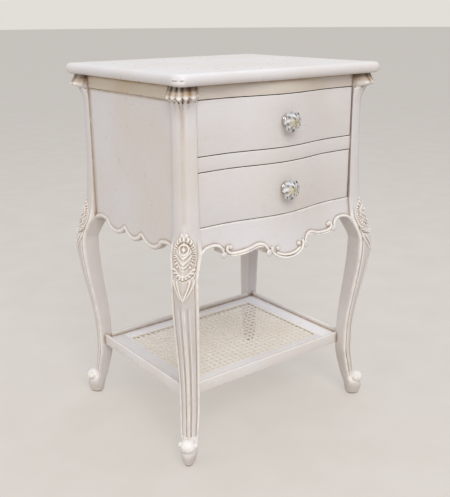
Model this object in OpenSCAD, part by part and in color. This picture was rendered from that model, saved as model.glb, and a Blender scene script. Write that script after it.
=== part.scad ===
// Two-drawer bedside table on cabriole legs, with a serpentine front,
// carved aprons and a caned lower shelf. Millimetres, +Z up, standing on z = 0.
// Every piece is drawn in the case's own frame, with y = 0 midway between the
// posts, and placed() then moves it so that the origin is under the box's middle.

/* [Overall] */
// Height of the table's top face
table_h = 700; // [640:5:780]
// Width over the four posts
case_w = 424; // [380:2:480]
// Depth over the four posts
case_d = 344; // [320:2:400]

/* [Top] */
// Thickness of the top, whose edge is a half round
top_t = 20; // [16:1:26]
// How far the top's side line stands out from the posts
top_over_side = 17; // [10:1:26]
// How far the top's back line and front ears stand out from the posts
top_over_end = 27.5; // [20:0.5:34]
// How far the front line is drawn in beside the ears
top_hollow = 2.5; // [0:0.5:4]
// How far each corner ear stands out from the side lines
ear_out = 5; // [0:0.5:8]
// Radius of each corner ear
ear_r = 20; // [14:1:28]
// How far the top's front edge bows out at the middle
top_bow = 4.5; // [0:0.5:9]

/* [Front] */
// How far the front swells out at its middle
front_bow = 17; // [6:0.5:22]
// Half the width of that swelling
front_bow_half = 135; // [100:1:150]
// How far the rails lie behind the posts' faces
rail_setback = 2.5; // [0.5:0.5:5]
// Thickness of the front rails where the front is flat
rail_t = 24; // [20:1:30]
// Height of the rail over the upper drawer
top_rail_h = 24; // [16:1:40]
// Height of the rail between the drawers
divider_h = 25; // [20:1:40]

/* [Drawers] */
// Height of the upper drawer's opening
upper_open_h = 94; // [70:1:130]
// Height of the lower drawer's opening
lower_open_h = 97; // [70:1:130]
// Visible gap round each drawer front
reveal = 1.5; // [1:0.1:3]
// Thickness of a drawer front at its ends
front_t = 18; // [14:1:22]
// Thickness of the drawer sides
side_t = 12; // [9:0.5:14]
// Thickness of the drawer backs
drawer_back_t = 10; // [8:0.5:14]
// Thickness of the drawer bottoms
drawer_bottom_t = 5; // [3:0.5:7]
// Room behind the drawer boxes, in front of the back panel
box_room = 11.5; // [4:0.5:40]
// Room between a drawer side and the post beside it
side_gap = 2.7; // [2:0.1:4]
// Room between a drawer side and its guide
guide_gap = 0.7; // [0.4:0.1:1.5]
// Room under a drawer on its runners
run_gap = 0.3; // [0.2:0.05:0.6]
// Room over the drawer sides
head_gap = 4; // [3:0.5:8]
// Depth of the grooves that hold the thin panels
groove_d = 5; // [3:0.5:7]
// Height of the drawer bottoms over the lower edges of the sides
groove_up = 8; // [7:0.5:12]
// Play of a thin panel in its groove
panel_fit = 0.2; // [0.1:0.05:0.5]

/* [Knobs] */
// Diameter of a crystal knob
knob_d = 38; // [28:0.5:44]
// Length of a crystal knob along its axis
knob_l = 20; // [16:0.5:28]
// Diameter of a knob's metal base
knob_base_d = 20; // [14:0.5:24]
// Length of a knob's metal base
knob_base_l = 8; // [7:0.5:14]
// Diameter of the knob screws
knob_screw_d = 4; // [3:0.5:5]
// Clearance on the diameter of a hole that a screw passes
screw_play = 0.6; // [0.2:0.1:1]

/* [Case] */
// Width of each square post
post_w = 30; // [26:0.5:36]
// How far the side panels lie behind the posts' faces
panel_setback = 2.5; // [1:0.5:5]
// Thickness of the side panels
panel_t = 12; // [9:0.5:15]
// How far the side top rails stand out from the panels
side_rail_out = 2; // [0.5:0.5:2.5]
// How far the back lies behind the posts' faces
back_setback = 4; // [2:0.5:8]
// Thickness of the back panel
back_t = 8; // [6:0.5:12]
// Thickness of the back rail
back_rail_t = 18; // [14:1:24]
// Height of the back rail
back_rail_h = 35; // [28:1:36]
// Height of the runners and kickers
runner_h = 16; // [14:0.5:18]
// How far the runners reach in past the drawer sides
runner_in = 2; // [0:0.5:6]
// Height of the drawer guides
guide_h = 14; // [8:0.5:18]
// Thickness of the dust panel and the bottom panel
dust_t = 5; // [3:0.5:6]
// Side of the square corner blocks
block_w = 30; // [22:1:36]
// Height of the corner blocks and the kickers
block_h = 22; // [14:0.5:23]
// Diameter of the screws that hold the top
top_screw_d = 4; // [3:0.5:5]
// How far those screws reach into the top
top_screw_in = 12; // [8:0.5:14]
// Height of the drawer stops
stop_h = 6; // [4:0.5:6]
// Width of the drawer stops
stop_w = 30; // [16:1:40]

/* [Aprons] */
// How far the front apron flares out at its lower edge
apron_flare = 11; // [6:0.5:14]
// How far the carved edge stands out from the front apron
bead_out = 4; // [1:0.5:6]
// Width of that carved edge
bead_w = 8; // [5:0.5:10]
// Drop of the front arches' crown below the drawer
arch_drop = 34; // [30:1:44]
// Drop of the flat runs of the front apron
run_drop = 54; // [48:1:60]
// Drop of the middle scroll
middle_drop = 82.5; // [74:0.5:90]
// Drop of the side arches' crown below the lower drawer
side_arch_drop = 36; // [32:1:42]
// Drop of the side scallops
scallop_drop = 55; // [50:1:62]
// How far the rolled edge stands out from the side panel
roll_out = 3; // [1:0.5:4]
// Width of that rolled edge
roll_w = 9; // [5:0.5:10]

/* [Legs] */
// How far the foot's centre line lies outside the post's faces
foot_out = 5.5; // [2:0.5:10]
// Height of the knee below the lower drawer's opening
knee_drop = 95; // [85:1:105]
// Outer face at the knee, out from the foot's centre line
knee_out = 16.5; // [12:0.5:20]
// Width of the leg at the knee
knee_w = 35; // [31:0.5:39]
// Inner face at the ankle, in from the foot's centre line
ankle_in = 30; // [29:0.5:34]
// Width of the leg at the ankle
ankle_w = 25.5; // [22:0.5:28]
// Reach of the ankle's rounded corner along the diagonal, from the foot's centre line
ankle_reach = -8; // [-12:0.5:-4]
// Reach of the toe along the diagonal, from the foot's centre line
toe_reach = 21.5; // [18:0.5:26]
// Inner face of the toe, in from the foot's centre line
toe_in = 16.5; // [14:0.5:19]
// Width of the toe across its scrolls' faces
toe_w = 22.5; // [20:0.5:26]
// Inner face of the foot where it stands, in from its centre line
foot_in = 9; // [7:0.5:11]
// Width of the foot where it stands
foot_w = 11; // [9:0.5:14]
// Height of the toe
toe_h = 60; // [52:1:70]
// Height of the lobed capital under the top
capital_h = 24; // [20:0.5:30]
// How far the capital's lobes reach out along the diagonal
capital_out = 18; // [14:0.5:20]
// Depth of the grooves between those lobes
lobe_d = 3; // [0:0.5:4]
// Depth of the leg's two flutes
flute_d = 1.4; // [0:0.1:2]
// How far the carved cartouche stands out from the knee
boss_out = 4; // [0:0.5:5]

/* [Shelf] */
// Height of the shelf's lower edge
shelf_z = 118; // [80:1:160]
// Height of the rim round the shelf
rim_h = 23; // [18:1:30]
// Thickness of that rim
rim_t = 6; // [5:0.5:9]
// Depth of the boards below the top of the rim
rim_lip = 9; // [5:0.5:10]
// How far the shelf's side rims lie inside the feet's centre lines
shelf_side_in = 12.5; // [5:0.5:18]
// How far the shelf's front and back rims lie inside the feet's centre lines
shelf_end_in = 26.5; // [14:0.5:28]
// Thickness of the boards round the cane
board_t = 11; // [8:0.5:12]
// Width of the boards at the sides
side_board_w = 36; // [24:1:50]
// Width of the boards at the front and back
end_board_w = 29; // [20:1:40]
// Thickness of the cane sheet
cane_t = 1.6; // [1.2:0.1:2.5]
// Spacing of the holes in the cane
cane_pitch = 20; // [18:0.5:26]
// Diameter of those holes
cane_hole_d = 12; // [8:0.5:13]
// Width of the spline that holds the cane
spline_w = 4; // [3:0.5:6]

/* [Hidden] */

// Finishes
paint = [0.93, 0.90, 0.84];
bare_wood = [0.82, 0.70, 0.52];
cane = [0.88, 0.83, 0.70];
crystal = [0.86, 0.90, 0.93, 0.6];
metal = [0.78, 0.79, 0.80];

// Planes of the case
post_x = case_w / 2;
post_y = case_d / 2;
inner_x = post_x - post_w;
inner_y = post_y - post_w;
front_y = -(post_y - rail_setback);
rail_back_y = front_y + rail_t;
front_back_y = front_y + front_t;
panel_x = post_x - panel_setback;
panel_in_x = panel_x - panel_t;
back_y = post_y - back_setback;
back_in_y = back_y - back_t;
back_rail_in_y = back_y - back_rail_t;

// Heights of the case, from the top down
case_top = table_h - top_t;
upper_top = case_top - top_rail_h;
upper_bottom = upper_top - upper_open_h;
lower_top = upper_bottom - divider_h;
lower_bottom = lower_top - lower_open_h;

// Drawer boxes
box_x = inner_x - side_gap;
guide_x = box_x + guide_gap;
runner_x = box_x - side_t - runner_in;
box_end_y = back_in_y - box_room;
upper_knob_z = (upper_top + upper_bottom) / 2;
lower_knob_z = (lower_top + lower_bottom) / 2;

// The front's furthest point, the back edge of the top, and the shift between them
knob_y = front_y - front_bow;
knob_tip_y = knob_y - knob_base_l - knob_l;
top_x = post_x + top_over_side;
top_y = post_y + top_over_end;
shift_y = -(knob_tip_y + top_y) / 2;

// Places along a leg
foot_x = post_x + foot_out;
foot_y = post_y + foot_out;
knee_z = lower_bottom - knee_drop;
arch_z = lower_bottom - arch_drop - 4;
rim_top = shelf_z + rim_h;
ankle_low = shelf_z - 4;
ankle_high = rim_top + 4;
board_top = rim_top - rim_lip;
// Inner faces of the legs where the shelf meets them
leg_in_x = foot_x - ankle_in;
leg_in_y = foot_y - ankle_in;

eps = 0.01;
// Play between a screw and the hole that it is driven into
bite = 0.05;

module placed() {
    translate([0, shift_y, 0]) children();
}

// A plain board from its low corner to its high corner
module board(low, high) {
    translate(low) cube(high - low);
}

// Smooth curves

// Rises from 0 to 1 with level ends
function ease(t) = let(u = min(1, max(0, t))) u * u * (3 - 2 * u);

// Height of a round arc over its ends, at distance d from its middle
function arc_fall(d, radius) = radius - sqrt(max(0, radius * radius - d * d));

// Radius of the arc with a given half width and depth
function arc_radius(half, depth) = (half * half + depth * depth) / (2 * depth);

// Row of the stations that a height falls in
function station(rows, z, k = 0) = k >= len(rows) - 2 || z < rows[k + 1][0] ? k : station(rows, z, k + 1);

// Slope of column c after row k
function slope(rows, k, c) = (rows[k + 1][c] - rows[k][c]) / (rows[k + 1][0] - rows[k][0]);

// Slope that keeps the curve from overshooting at row k
function level(rows, k, c) =
    k == 0 || k == len(rows) - 1 ? 0 :
    let(a = slope(rows, k - 1, c), b = slope(rows, k, c))
    a * b <= 0 ? 0 : 2 * a * b / (a + b);

// Value of column c at height z, on a smooth curve through the stations
function through(rows, z, c) =
    let(k = station(rows, z),
        h = rows[k + 1][0] - rows[k][0],
        u = (z - rows[k][0]) / h,
        w = 1 - u)
    rows[k][c] * (1 + 2 * u) * w * w + level(rows, k, c) * h * u * w * w
    + rows[k + 1][c] * u * u * (3 - 2 * u) - level(rows, k + 1, c) * h * u * u * w;

// Faces of a tube of rings, closed at both ends
function tube_faces(rings, points) = concat(
    [[for (i = [points - 1:-1:0]) i]],
    [for (r = [0:rings - 2], i = [0:points - 1])
        let(a = r * points + i, b = r * points + (i + 1) % points)
        each [[a, b, b + points], [a, b + points, a + points]]],
    [[for (i = [0:points - 1]) (rings - 1) * points + i]]);

// The serpentine front

// How far the front stands out at x, from 0 at the ends to 1 at the middle
function swell(x) = abs(x) < front_bow_half ? pow(cos(90 * x / front_bow_half), 2) : 0;

function front_line(x) = front_y - front_bow * swell(x);

// Plan of a piece with the serpentine front and a flat back
function serpentine_plan(half, back, steps = 40) = concat(
    [for (i = [0:steps]) let(x = -half + 2 * half * i / steps) [x, front_line(x)]],
    [[half, back], [-half, back]]);

module serpentine(half, back, z0, z1) {
    translate([0, 0, z0]) linear_extrude(height = z1 - z0) polygon(serpentine_plan(half, back));
}

// Top

edge_steps = 6;
arc_steps = 8;
line_steps = 14;
ear_x = top_x + ear_out - ear_r;
ear_y = top_y - ear_r;
neck = 40;

// Rises from 0 to 1 where a line runs out to the ears, whose centres are at end
function ear_run(d, end) = ease((d - end + neck) / neck);

function top_front(x) = -top_y + top_hollow * (1 - ear_run(abs(x), ear_x)) - top_bow * swell(x);

function top_side(y) = top_x + ear_out * ear_run(abs(y), ear_y);

// Quarter circle of the ear at one corner, from the angle a0
function ear(side, end, a0) = [
    for (i = [0:arc_steps])
        let(a = a0 + 90 * i / arc_steps)
        [side * ear_x + ear_r * cos(a), end * ear_y + ear_r * sin(a)]];

// Outline seen from above, anticlockwise from the front left ear
top_plan = concat(
    ear(-1, -1, 180),
    [for (i = [1:2 * line_steps - 1]) let(x = -ear_x + ear_x * i / line_steps) [x, top_front(x)]],
    ear(1, -1, 270),
    [for (i = [1:line_steps - 1]) let(y = -ear_y + 2 * ear_y * i / line_steps) [top_side(y), y]],
    ear(1, 1, 0),
    ear(-1, 1, 90),
    [for (i = [1:line_steps - 1]) let(y = ear_y - 2 * ear_y * i / line_steps) [-top_side(y), y]]);

// Outline drawn in by a distance, square to its own edge
function drawn_in(plan, d) = [
    for (i = [0:len(plan) - 1])
        let(a = plan[(i + len(plan) - 1) % len(plan)],
            b = plan[(i + 1) % len(plan)],
            t = (b - a) / norm(b - a))
        plan[i] + d * [-t[1], t[0]]];

module top() {
    edge_r = top_t / 2;
    rings = [for (k = [0:edge_steps]) let(a = 90 - 180 * k / edge_steps)
        [for (p = drawn_in(top_plan, edge_r * (1 - cos(a)))) [p[0], p[1], case_top + edge_r * (1 + sin(a))]]];
    color(paint) placed() difference() {
        polyhedron([for (ring = rings) each ring], tube_faces(len(rings), len(top_plan)));
        for (p = block_places) translate([p[0], p[1], case_top - 1])
            cylinder(r = top_screw_d / 2 + bite, h = top_screw_in + 2, $fn = 48);
    }
}

// Legs

// Inner and outer faces of the post, seen from the foot's centre line
post_in = -foot_out - post_w;
post_out = -foot_out;
lobe_z = case_top - capital_h;
neck_z = lobe_z - 31;

// Stations up the leg: height, inner face, outer face, reach of the rounded
// corner along the diagonal, and how square that corner is.
leg_rows = [
    [0, -foot_in, foot_w - foot_in, toe_reach / 2, 1],
    [toe_h * 0.34, -foot_in - 4, foot_w - foot_in + 2, toe_reach - 1.5, 1],
    [toe_h * 0.54, -toe_in, toe_w - toe_in, toe_reach, 0.8],
    [toe_h * 0.72, -toe_in - 3, toe_w - toe_in - 2.5, toe_reach - 6, 0.85],
    [toe_h * 0.87, -toe_in - 5, toe_w - toe_in - 4, toe_reach - 17, 1.1],
    [toe_h, -toe_in - 6.5, toe_w - toe_in - 6, -3, 1.5],
    [ankle_low, -ankle_in, ankle_w - ankle_in, ankle_reach, 1.7],
    [ankle_high, -ankle_in, ankle_w - ankle_in + 0.5, ankle_reach, 1.7],
    [knee_z, knee_out - knee_w, knee_out, knee_out + 6.5, 1.75],
    [knee_z + 7, knee_out - knee_w, knee_out - 0.5, knee_out + 5.5, 1.75],
    [knee_z + 35, (knee_out - knee_w + post_in) / 2, knee_out - 7, knee_out - 3.5, 1.7],
    [arch_z, post_in, post_out + 9, post_out + 10, 1.7],
    [lower_bottom, post_in, post_out + 3, post_out - 1, 1.6],
    [lower_top, post_in, post_out + 0.5, post_out - 6.5, 1.6],
    [neck_z, post_in, post_out, post_out - 7.3, 1.6],
    [lobe_z - 3, post_in, post_out + 3, post_out + 2, 1.3],
    [lobe_z, post_in, post_out + 8, post_out + 9, 1.1],
    [lobe_z + 4, post_in, post_out + 10.5, post_out + capital_out, 1.05],
    [lobe_z + capital_h / 2, post_in, post_out + 8.5, post_out + capital_out - 4, 1.1],
    [case_top, post_in, post_out + 4, post_out + capital_out - 10, 1.2]];

// Heights at which the leg's outline is drawn
leg_levels = concat(
    [for (f = [0, 0.14, 0.3, 0.43, 0.54, 0.66, 0.77, 0.86, 0.94, 1]) toe_h * f],
    [for (f = [0.3, 0.65, 1]) toe_h + (ankle_low - toe_h) * f],
    [for (i = [0:7]) ankle_high + (knee_z - ankle_high) * i / 7],
    [for (i = [0:4]) knee_z + (arch_z - knee_z) * (0.12 + 0.88 * i / 5)],
    [(arch_z + lower_bottom) / 2, lower_bottom, (lower_bottom + lower_top) / 2, upper_bottom],
    [for (d = [31, 18, 9, 3]) lobe_z - d],
    [for (f = [0, 0.17, 0.36, 0.6, 0.8, 1]) lobe_z + capital_h * f]);

corner_points = 20;

// Five lobes on the capital, deep at its lower edge
function lobes(z, a) =
    z < lobe_z - eps ? 0 : -lobe_d * (1 - abs(cos(5 * a))) * (1 - 0.75 * (z - lobe_z) / capital_h);

// Two flutes down the leg's rounded corner, either side of a centre reed
function flutes(z, a) =
    let(run = ease((z - toe_h) / 20) * ease((knee_z - 12 - z) / 30))
    -flute_d * run * max(0, cos(180 * (abs(a) - 30) / 36));

// Oval cartouche on the knee
function cartouche(z, a) =
    let(v = (z - knee_z - 45) / 38, h = a / 48)
    boss_out * sqrt(max(0, 1 - v * v - h * h));

// One level of the front left leg, as points seen from the foot's centre line
function leg_ring(z) =
    let(inner = through(leg_rows, z, 1),
        outer = through(leg_rows, z, 2),
        reach = through(leg_rows, z, 3),
        e = through(leg_rows, z, 4),
        mid = (inner + outer) / sqrt(2),
        half = (outer - inner) / sqrt(2))
    concat([[inner, inner, z]],
        [for (i = [0:corner_points])
            let(a = -90 + 180 * i / corner_points,
                d = lobes(z, a) + flutes(z, a) + cartouche(z, a),
                s = mid + (reach - mid) * pow(abs(cos(a)), e) + d * cos(a),
                t = sign(a) * half * pow(abs(sin(a)), e) + d * sin(a))
            [(s + t) / sqrt(2), (s - t) / sqrt(2), z]]);

module leg(side, end) {
    rings = [for (z = leg_levels) leg_ring(z)];
    points = [for (ring = rings) each [for (p = ring) [-foot_x - p[0], -foot_y - p[1], p[2]]]];
    color(paint) placed()
        mirror([side > 0 ? 1 : 0, 0, 0]) mirror([0, end > 0 ? 1 : 0, 0])
            polyhedron(points, tube_faces(len(rings), len(rings[0])));
}

// Front rails and apron

module front_top_rail() {
    color(paint) placed() serpentine(inner_x, rail_back_y, upper_top, case_top);
}

module divider_rail() {
    color(paint) placed() serpentine(inner_x, rail_back_y, lower_top, upper_bottom);
}

// Carved lower edge of the front apron: places across, radii and depths
arch_mid = 158;
arch_half = 30;
arch_rise = 20;
outer_lobe_x = 135.5;
inner_lobe_x = 45;
lobe_r = 7;
run_mid = 108;
run_wave = 5;
run_half = 48;
middle_half = 39;
middle_depth = 14;

// Drop of the apron's lower edge below the drawer at x
function run_line(x) = run_drop + run_wave * cos(180 * (x - run_mid) / run_half);

function lobe_line(x, at, drop) = abs(x - at) < lobe_r ? drop - arc_fall(x - at, lobe_r) : 0;

function middle_line(x) =
    x < middle_half ? middle_drop - arc_fall(x, arc_radius(middle_half, middle_depth)) : 0;

function arch_line(x) =
    arch_drop + arc_fall(min(abs(x - arch_mid), arch_half), arc_radius(arch_half, arch_rise / 2));

function apron_drop(x) =
    let(u = abs(x))
    max(u > arch_mid - arch_half + 2 ? arch_line(u) : u > middle_half ? run_line(u) : 0,
        lobe_line(u, outer_lobe_x, run_drop + 4),
        lobe_line(u, inner_lobe_x, run_drop + 16),
        middle_line(u));

// Surface of the apron at x, a distance d below the drawer
function apron_face(x, d) = front_line(x) - apron_flare * pow(d / run_drop, 1.2);

// Section of the apron at x, from the top of its face round to the top of its back
function apron_section(x) =
    let(drop = apron_drop(x),
        cove = drop - bead_w - 2,
        edge = lower_bottom - drop)
    [[x, apron_face(x, 0), lower_bottom],
     [x, apron_face(x, cove / 2), lower_bottom - cove / 2],
     [x, apron_face(x, cove), edge + bead_w + 2],
     [x, apron_face(x, drop - bead_w) - bead_out, edge + bead_w],
     [x, apron_face(x, drop - 2) - bead_out, edge + 2],
     [x, apron_face(x, drop) - bead_out / 3, edge],
     [x, rail_back_y, edge],
     [x, rail_back_y, lower_bottom]];

apron_steps = 116;

module front_apron() {
    sections = [for (i = [0:apron_steps]) apron_section(-inner_x + 2 * inner_x * i / apron_steps)];
    color(paint) placed()
        polyhedron([for (s = sections) each s], tube_faces(len(sections), len(sections[0])));
}

// Sides of the case

scallop_half = 34;
scallop_mid = 64;
centre_half = 30;
scallop_depth = 14;
side_arch_mid = 115;
side_arch_r = 45;

// Drop of a side panel's lower edge below the lower drawer's opening at y
function side_drop(y) =
    let(u = abs(y))
    u > scallop_mid + scallop_half
        ? side_arch_drop + arc_fall(min(abs(u - side_arch_mid), side_arch_r), side_arch_r)
        : u > centre_half
            ? scallop_drop - arc_fall(u - scallop_mid, arc_radius(scallop_half, scallop_depth))
            : scallop_drop - arc_fall(u, arc_radius(centre_half, scallop_depth));

// Lower edge of a side panel, raised by a distance
function side_edge(up) = [
    for (i = [0:70]) let(y = -inner_y + 2 * inner_y * i / 70) [y, lower_bottom - side_drop(y) + up]];

// A plan in y and z, made solid between two planes of x on one side of the case
module side_slab(side, x0, x1, plan) {
    mirror([side < 0 ? 1 : 0, 0, 0]) translate([x0, 0, 0])
        rotate([90, 0, 90]) linear_extrude(height = x1 - x0) polygon(plan);
}

module side_panel(side) {
    rail_bottom = upper_top;
    color(paint) placed() {
        side_slab(side, panel_in_x, panel_x,
            concat(side_edge(0), [[inner_y, rail_bottom], [-inner_y, rail_bottom]]));
        side_slab(side, panel_x - eps, panel_x + roll_out,
            concat(side_edge(0), [for (i = [70:-1:0]) side_edge(roll_w)[i]]));
    }
}

module side_top_rail(side) {
    color(paint) placed() mirror([side < 0 ? 1 : 0, 0, 0])
        board([panel_in_x, -inner_y, upper_top], [panel_x + side_rail_out, inner_y, case_top]);
}

// Back of the case

module back_panel() {
    color(paint) placed()
        board([-inner_x, back_in_y, lower_bottom], [inner_x, back_y, case_top]);
}

module back_rail() {
    color(paint) placed()
        board([-inner_x, back_rail_in_y, lower_bottom - back_rail_h], [inner_x, back_y, lower_bottom]);
}

// Inside the case

// A strip along the case, from one plane of x to another on one side
module strip(side, x0, x1, z0, z1) {
    mirror([side < 0 ? 1 : 0, 0, 0]) board([x0, -inner_y, z0], [x1, inner_y, z1]);
}

module kicker(side) {
    color(bare_wood) placed() strip(side, runner_x, panel_in_x, case_top - block_h, case_top);
}

dust_up = (runner_h - dust_t) / 2;

module runner(side, z) {
    color(bare_wood) placed() difference() {
        strip(side, runner_x, panel_in_x, z - runner_h, z);
        mirror([side < 0 ? 1 : 0, 0, 0])
            board([runner_x - 1, -inner_y - 1, z - runner_h + dust_up],
                  [runner_x + groove_d, inner_y + 1, z - runner_h + dust_up + dust_t + panel_fit]);
    }
}

module guide(side, z) {
    color(bare_wood) placed() strip(side, guide_x, panel_in_x, z, z + guide_h);
}

// Thin panel held by the grooves of the two runners
module thin_panel(z, back) {
    half = runner_x + groove_d - panel_fit;
    low = z - runner_h + dust_up;
    color(bare_wood) placed() intersection() {
        board([-half, rail_back_y, low], [half, back, low + dust_t]);
        union() {
            board([-runner_x, rail_back_y - 1, low - 1], [runner_x, back + 1, low + dust_t + 1]);
            board([-half - 1, -inner_y, low - 1], [half + 1, inner_y, low + dust_t + 1]);
        }
    }
}

module drawer_stops(z) {
    color(bare_wood) placed() for (s = [-1, 1])
        board([s * inner_x / 2 - stop_w / 2, front_back_y + run_gap, z],
              [s * inner_x / 2 + stop_w / 2, rail_back_y, z + stop_h]);
}

// Corner blocks, each between a kicker and the rail or panel at its end
block_x = runner_x - block_w / 2;
front_block_y = rail_back_y + block_w / 2;
back_block_y = back_in_y - block_w / 2;
block_places = [for (x = [-block_x, block_x], y = [front_block_y, back_block_y]) [x, y]];
screw_head_r = 4;
screw_head_h = 3;

module corner_blocks() {
    color(bare_wood) placed() for (p = block_places) difference() {
        translate([p[0] - block_w / 2, p[1] - block_w / 2, case_top - block_h])
            cube([block_w, block_w, block_h]);
        translate([p[0], p[1], case_top - block_h - 1])
            cylinder(r = (top_screw_d + screw_play) / 2, h = block_h + 2, $fn = 48);
        translate([p[0], p[1], case_top - block_h - 1])
            cylinder(r = screw_head_r + screw_play / 2, h = screw_head_h + 1, $fn = 48);
    }
}

module top_screws() {
    color(metal) placed() for (p = block_places) translate([p[0], p[1], case_top - block_h]) {
        cylinder(r = screw_head_r, h = screw_head_h, $fn = 32);
        cylinder(r = top_screw_d / 2, h = block_h + top_screw_in, $fn = 24);
    }
}

// Drawers, each given by the bottom and top of its opening

module drawer_front(z0, z1) {
    half = inner_x - reveal;
    groove_half = box_x - side_t + groove_d;
    groove_z = z0 + run_gap + groove_up;
    color(paint) placed() difference() {
        serpentine(half, front_back_y, z0 + reveal, z1 - reveal);
        board([-groove_half, front_back_y - groove_d, groove_z],
              [groove_half, front_back_y + 1, groove_z + drawer_bottom_t + panel_fit]);
        translate([0, front_back_y + 1, (z0 + z1) / 2]) rotate([90, 0, 0])
            cylinder(r = (knob_screw_d + screw_play) / 2, h = front_t + front_bow + 2, $fn = 48);
    }
}

module drawer_side(side, z0, z1) {
    groove_z = z0 + run_gap + groove_up;
    color(bare_wood) placed() mirror([side < 0 ? 1 : 0, 0, 0]) difference() {
        board([box_x - side_t, front_back_y, z0 + run_gap], [box_x, box_end_y, z1 - head_gap]);
        board([box_x - side_t - 1, front_back_y - 1, groove_z],
              [box_x - side_t + groove_d, box_end_y + 1, groove_z + drawer_bottom_t + panel_fit]);
    }
}

// The back stands on the bottom, a little in from the ends of the sides
back_inset = 3;

module drawer_back(z0, z1) {
    low = z0 + run_gap + groove_up + drawer_bottom_t;
    color(bare_wood) placed()
        board([side_t - box_x, box_end_y - back_inset - drawer_back_t, low],
              [box_x - side_t, box_end_y - back_inset, z1 - head_gap - back_inset]);
}

module drawer_bottom(z0) {
    half = box_x - side_t + groove_d - panel_fit;
    low = z0 + run_gap + groove_up;
    color(bare_wood) placed()
        board([-half, front_back_y - groove_d + panel_fit, low],
              [half, box_end_y - back_inset, low + drawer_bottom_t]);
}

// Knobs, turned about an axis that runs out of the drawer front

module on_front(z) {
    placed() translate([0, knob_y, z]) rotate([90, 0, 0]) children();
}

module knob_base(z) {
    flange_h = 2.5;
    base_r = knob_base_d / 2;
    color(metal) on_front(z) difference() {
        rotate_extrude($fn = 48)
            polygon([[0, 0], [base_r, 0], [base_r, flange_h], [base_r * 0.55, knob_base_l * 0.55],
                     [base_r * 0.8, knob_base_l], [0, knob_base_l]]);
        translate([0, 0, -1])
            cylinder(r = knob_screw_d / 2 + bite, h = knob_base_l - 1, $fn = 48);
    }
}

// Crystal cut as a twelve-sided flower, widest a third of the way out
module knob_crystal(z) {
    sides = 12;
    r = knob_d / 2;
    color(crystal) on_front(z) translate([0, 0, knob_base_l]) {
        cylinder(r1 = knob_base_d * 0.45, r2 = r, h = knob_l * 0.34, $fn = sides);
        translate([0, 0, knob_l * 0.34]) cylinder(r = r, h = knob_l * 0.16, $fn = sides);
        translate([0, 0, knob_l * 0.5]) cylinder(r1 = r, r2 = r * 0.72, h = knob_l * 0.3, $fn = sides);
        translate([0, 0, knob_l * 0.8]) cylinder(r1 = r * 0.72, r2 = r * 0.3, h = knob_l * 0.2, $fn = sides);
    }
}

module knob_screw(z) {
    head_r = knob_screw_d;
    head_h = knob_screw_d * 0.6;
    length = front_t + front_bow + knob_base_l - 3;
    color(metal) placed() translate([0, front_back_y, z]) rotate([90, 0, 0]) {
        cylinder(r = knob_screw_d / 2, h = length, $fn = 32);
        translate([0, 0, -head_h]) cylinder(r = head_r, h = head_h, $fn = 32);
    }
}

// Shelf

cane_low = 1;
rim_x = foot_x - shelf_side_in;
rim_y = foot_y - shelf_end_in;
board_x = rim_x - rim_t;
board_y = rim_y - rim_t;
cane_x = board_x - side_board_w;
cane_y = board_y - end_board_w;
cane_z = board_top - cane_t - cane_low;

module shelf_rim_end(end) {
    color(paint) placed() mirror([0, end < 0 ? 1 : 0, 0])
        board([-leg_in_x, board_y, shelf_z], [leg_in_x, rim_y, rim_top]);
}

module shelf_rim_side(side) {
    color(paint) placed() mirror([side < 0 ? 1 : 0, 0, 0])
        board([board_x, -leg_in_y, shelf_z], [rim_x, leg_in_y, rim_top]);
}

module shelf_board_end(end) {
    color(paint) placed() mirror([0, end < 0 ? 1 : 0, 0])
        board([-cane_x, cane_y, board_top - board_t], [cane_x, board_y, board_top]);
}

// The side boards run past the end rims, as far as the legs
module shelf_board_side(side) {
    color(paint) placed() mirror([side < 0 ? 1 : 0, 0, 0]) {
        board([cane_x, -board_y, board_top - board_t], [board_x, board_y, board_top]);
        board([leg_in_x, -max(board_y, leg_in_y), board_top - board_t],
              [board_x, max(board_y, leg_in_y), board_top]);
    }
}

cane_border = 6;
spline_t = 1.4;
cane_across = floor((2 * (cane_x - cane_border) - cane_hole_d) / cane_pitch);
cane_deep = floor((2 * (cane_y - cane_border) - cane_hole_d) / cane_pitch);

// The cane sheet, with its rows of eight-sided holes
module cane_panel() {
    color(cane) placed() translate([0, 0, cane_z]) linear_extrude(height = cane_t) difference() {
        square([2 * cane_x, 2 * cane_y], center = true);
        for (i = [0:cane_across], j = [0:cane_deep])
            translate([(i - cane_across / 2) * cane_pitch, (j - cane_deep / 2) * cane_pitch])
                rotate(22.5) circle(r = cane_hole_d / 2, $fn = 8);
    }
}

// Strips that hold the cane's edges down
module cane_spline() {
    z0 = cane_z + cane_t;
    color(cane) placed() translate([0, 0, z0]) linear_extrude(height = spline_t) {
        for (s = [-1, 1]) {
            translate([0, s * (cane_y - spline_w / 2)])
                square([2 * (cane_x - spline_w - panel_fit), spline_w], center = true);
            translate([s * (cane_x - spline_w / 2), 0])
                square([spline_w, 2 * cane_y], center = true);
        }
    }
}

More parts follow.
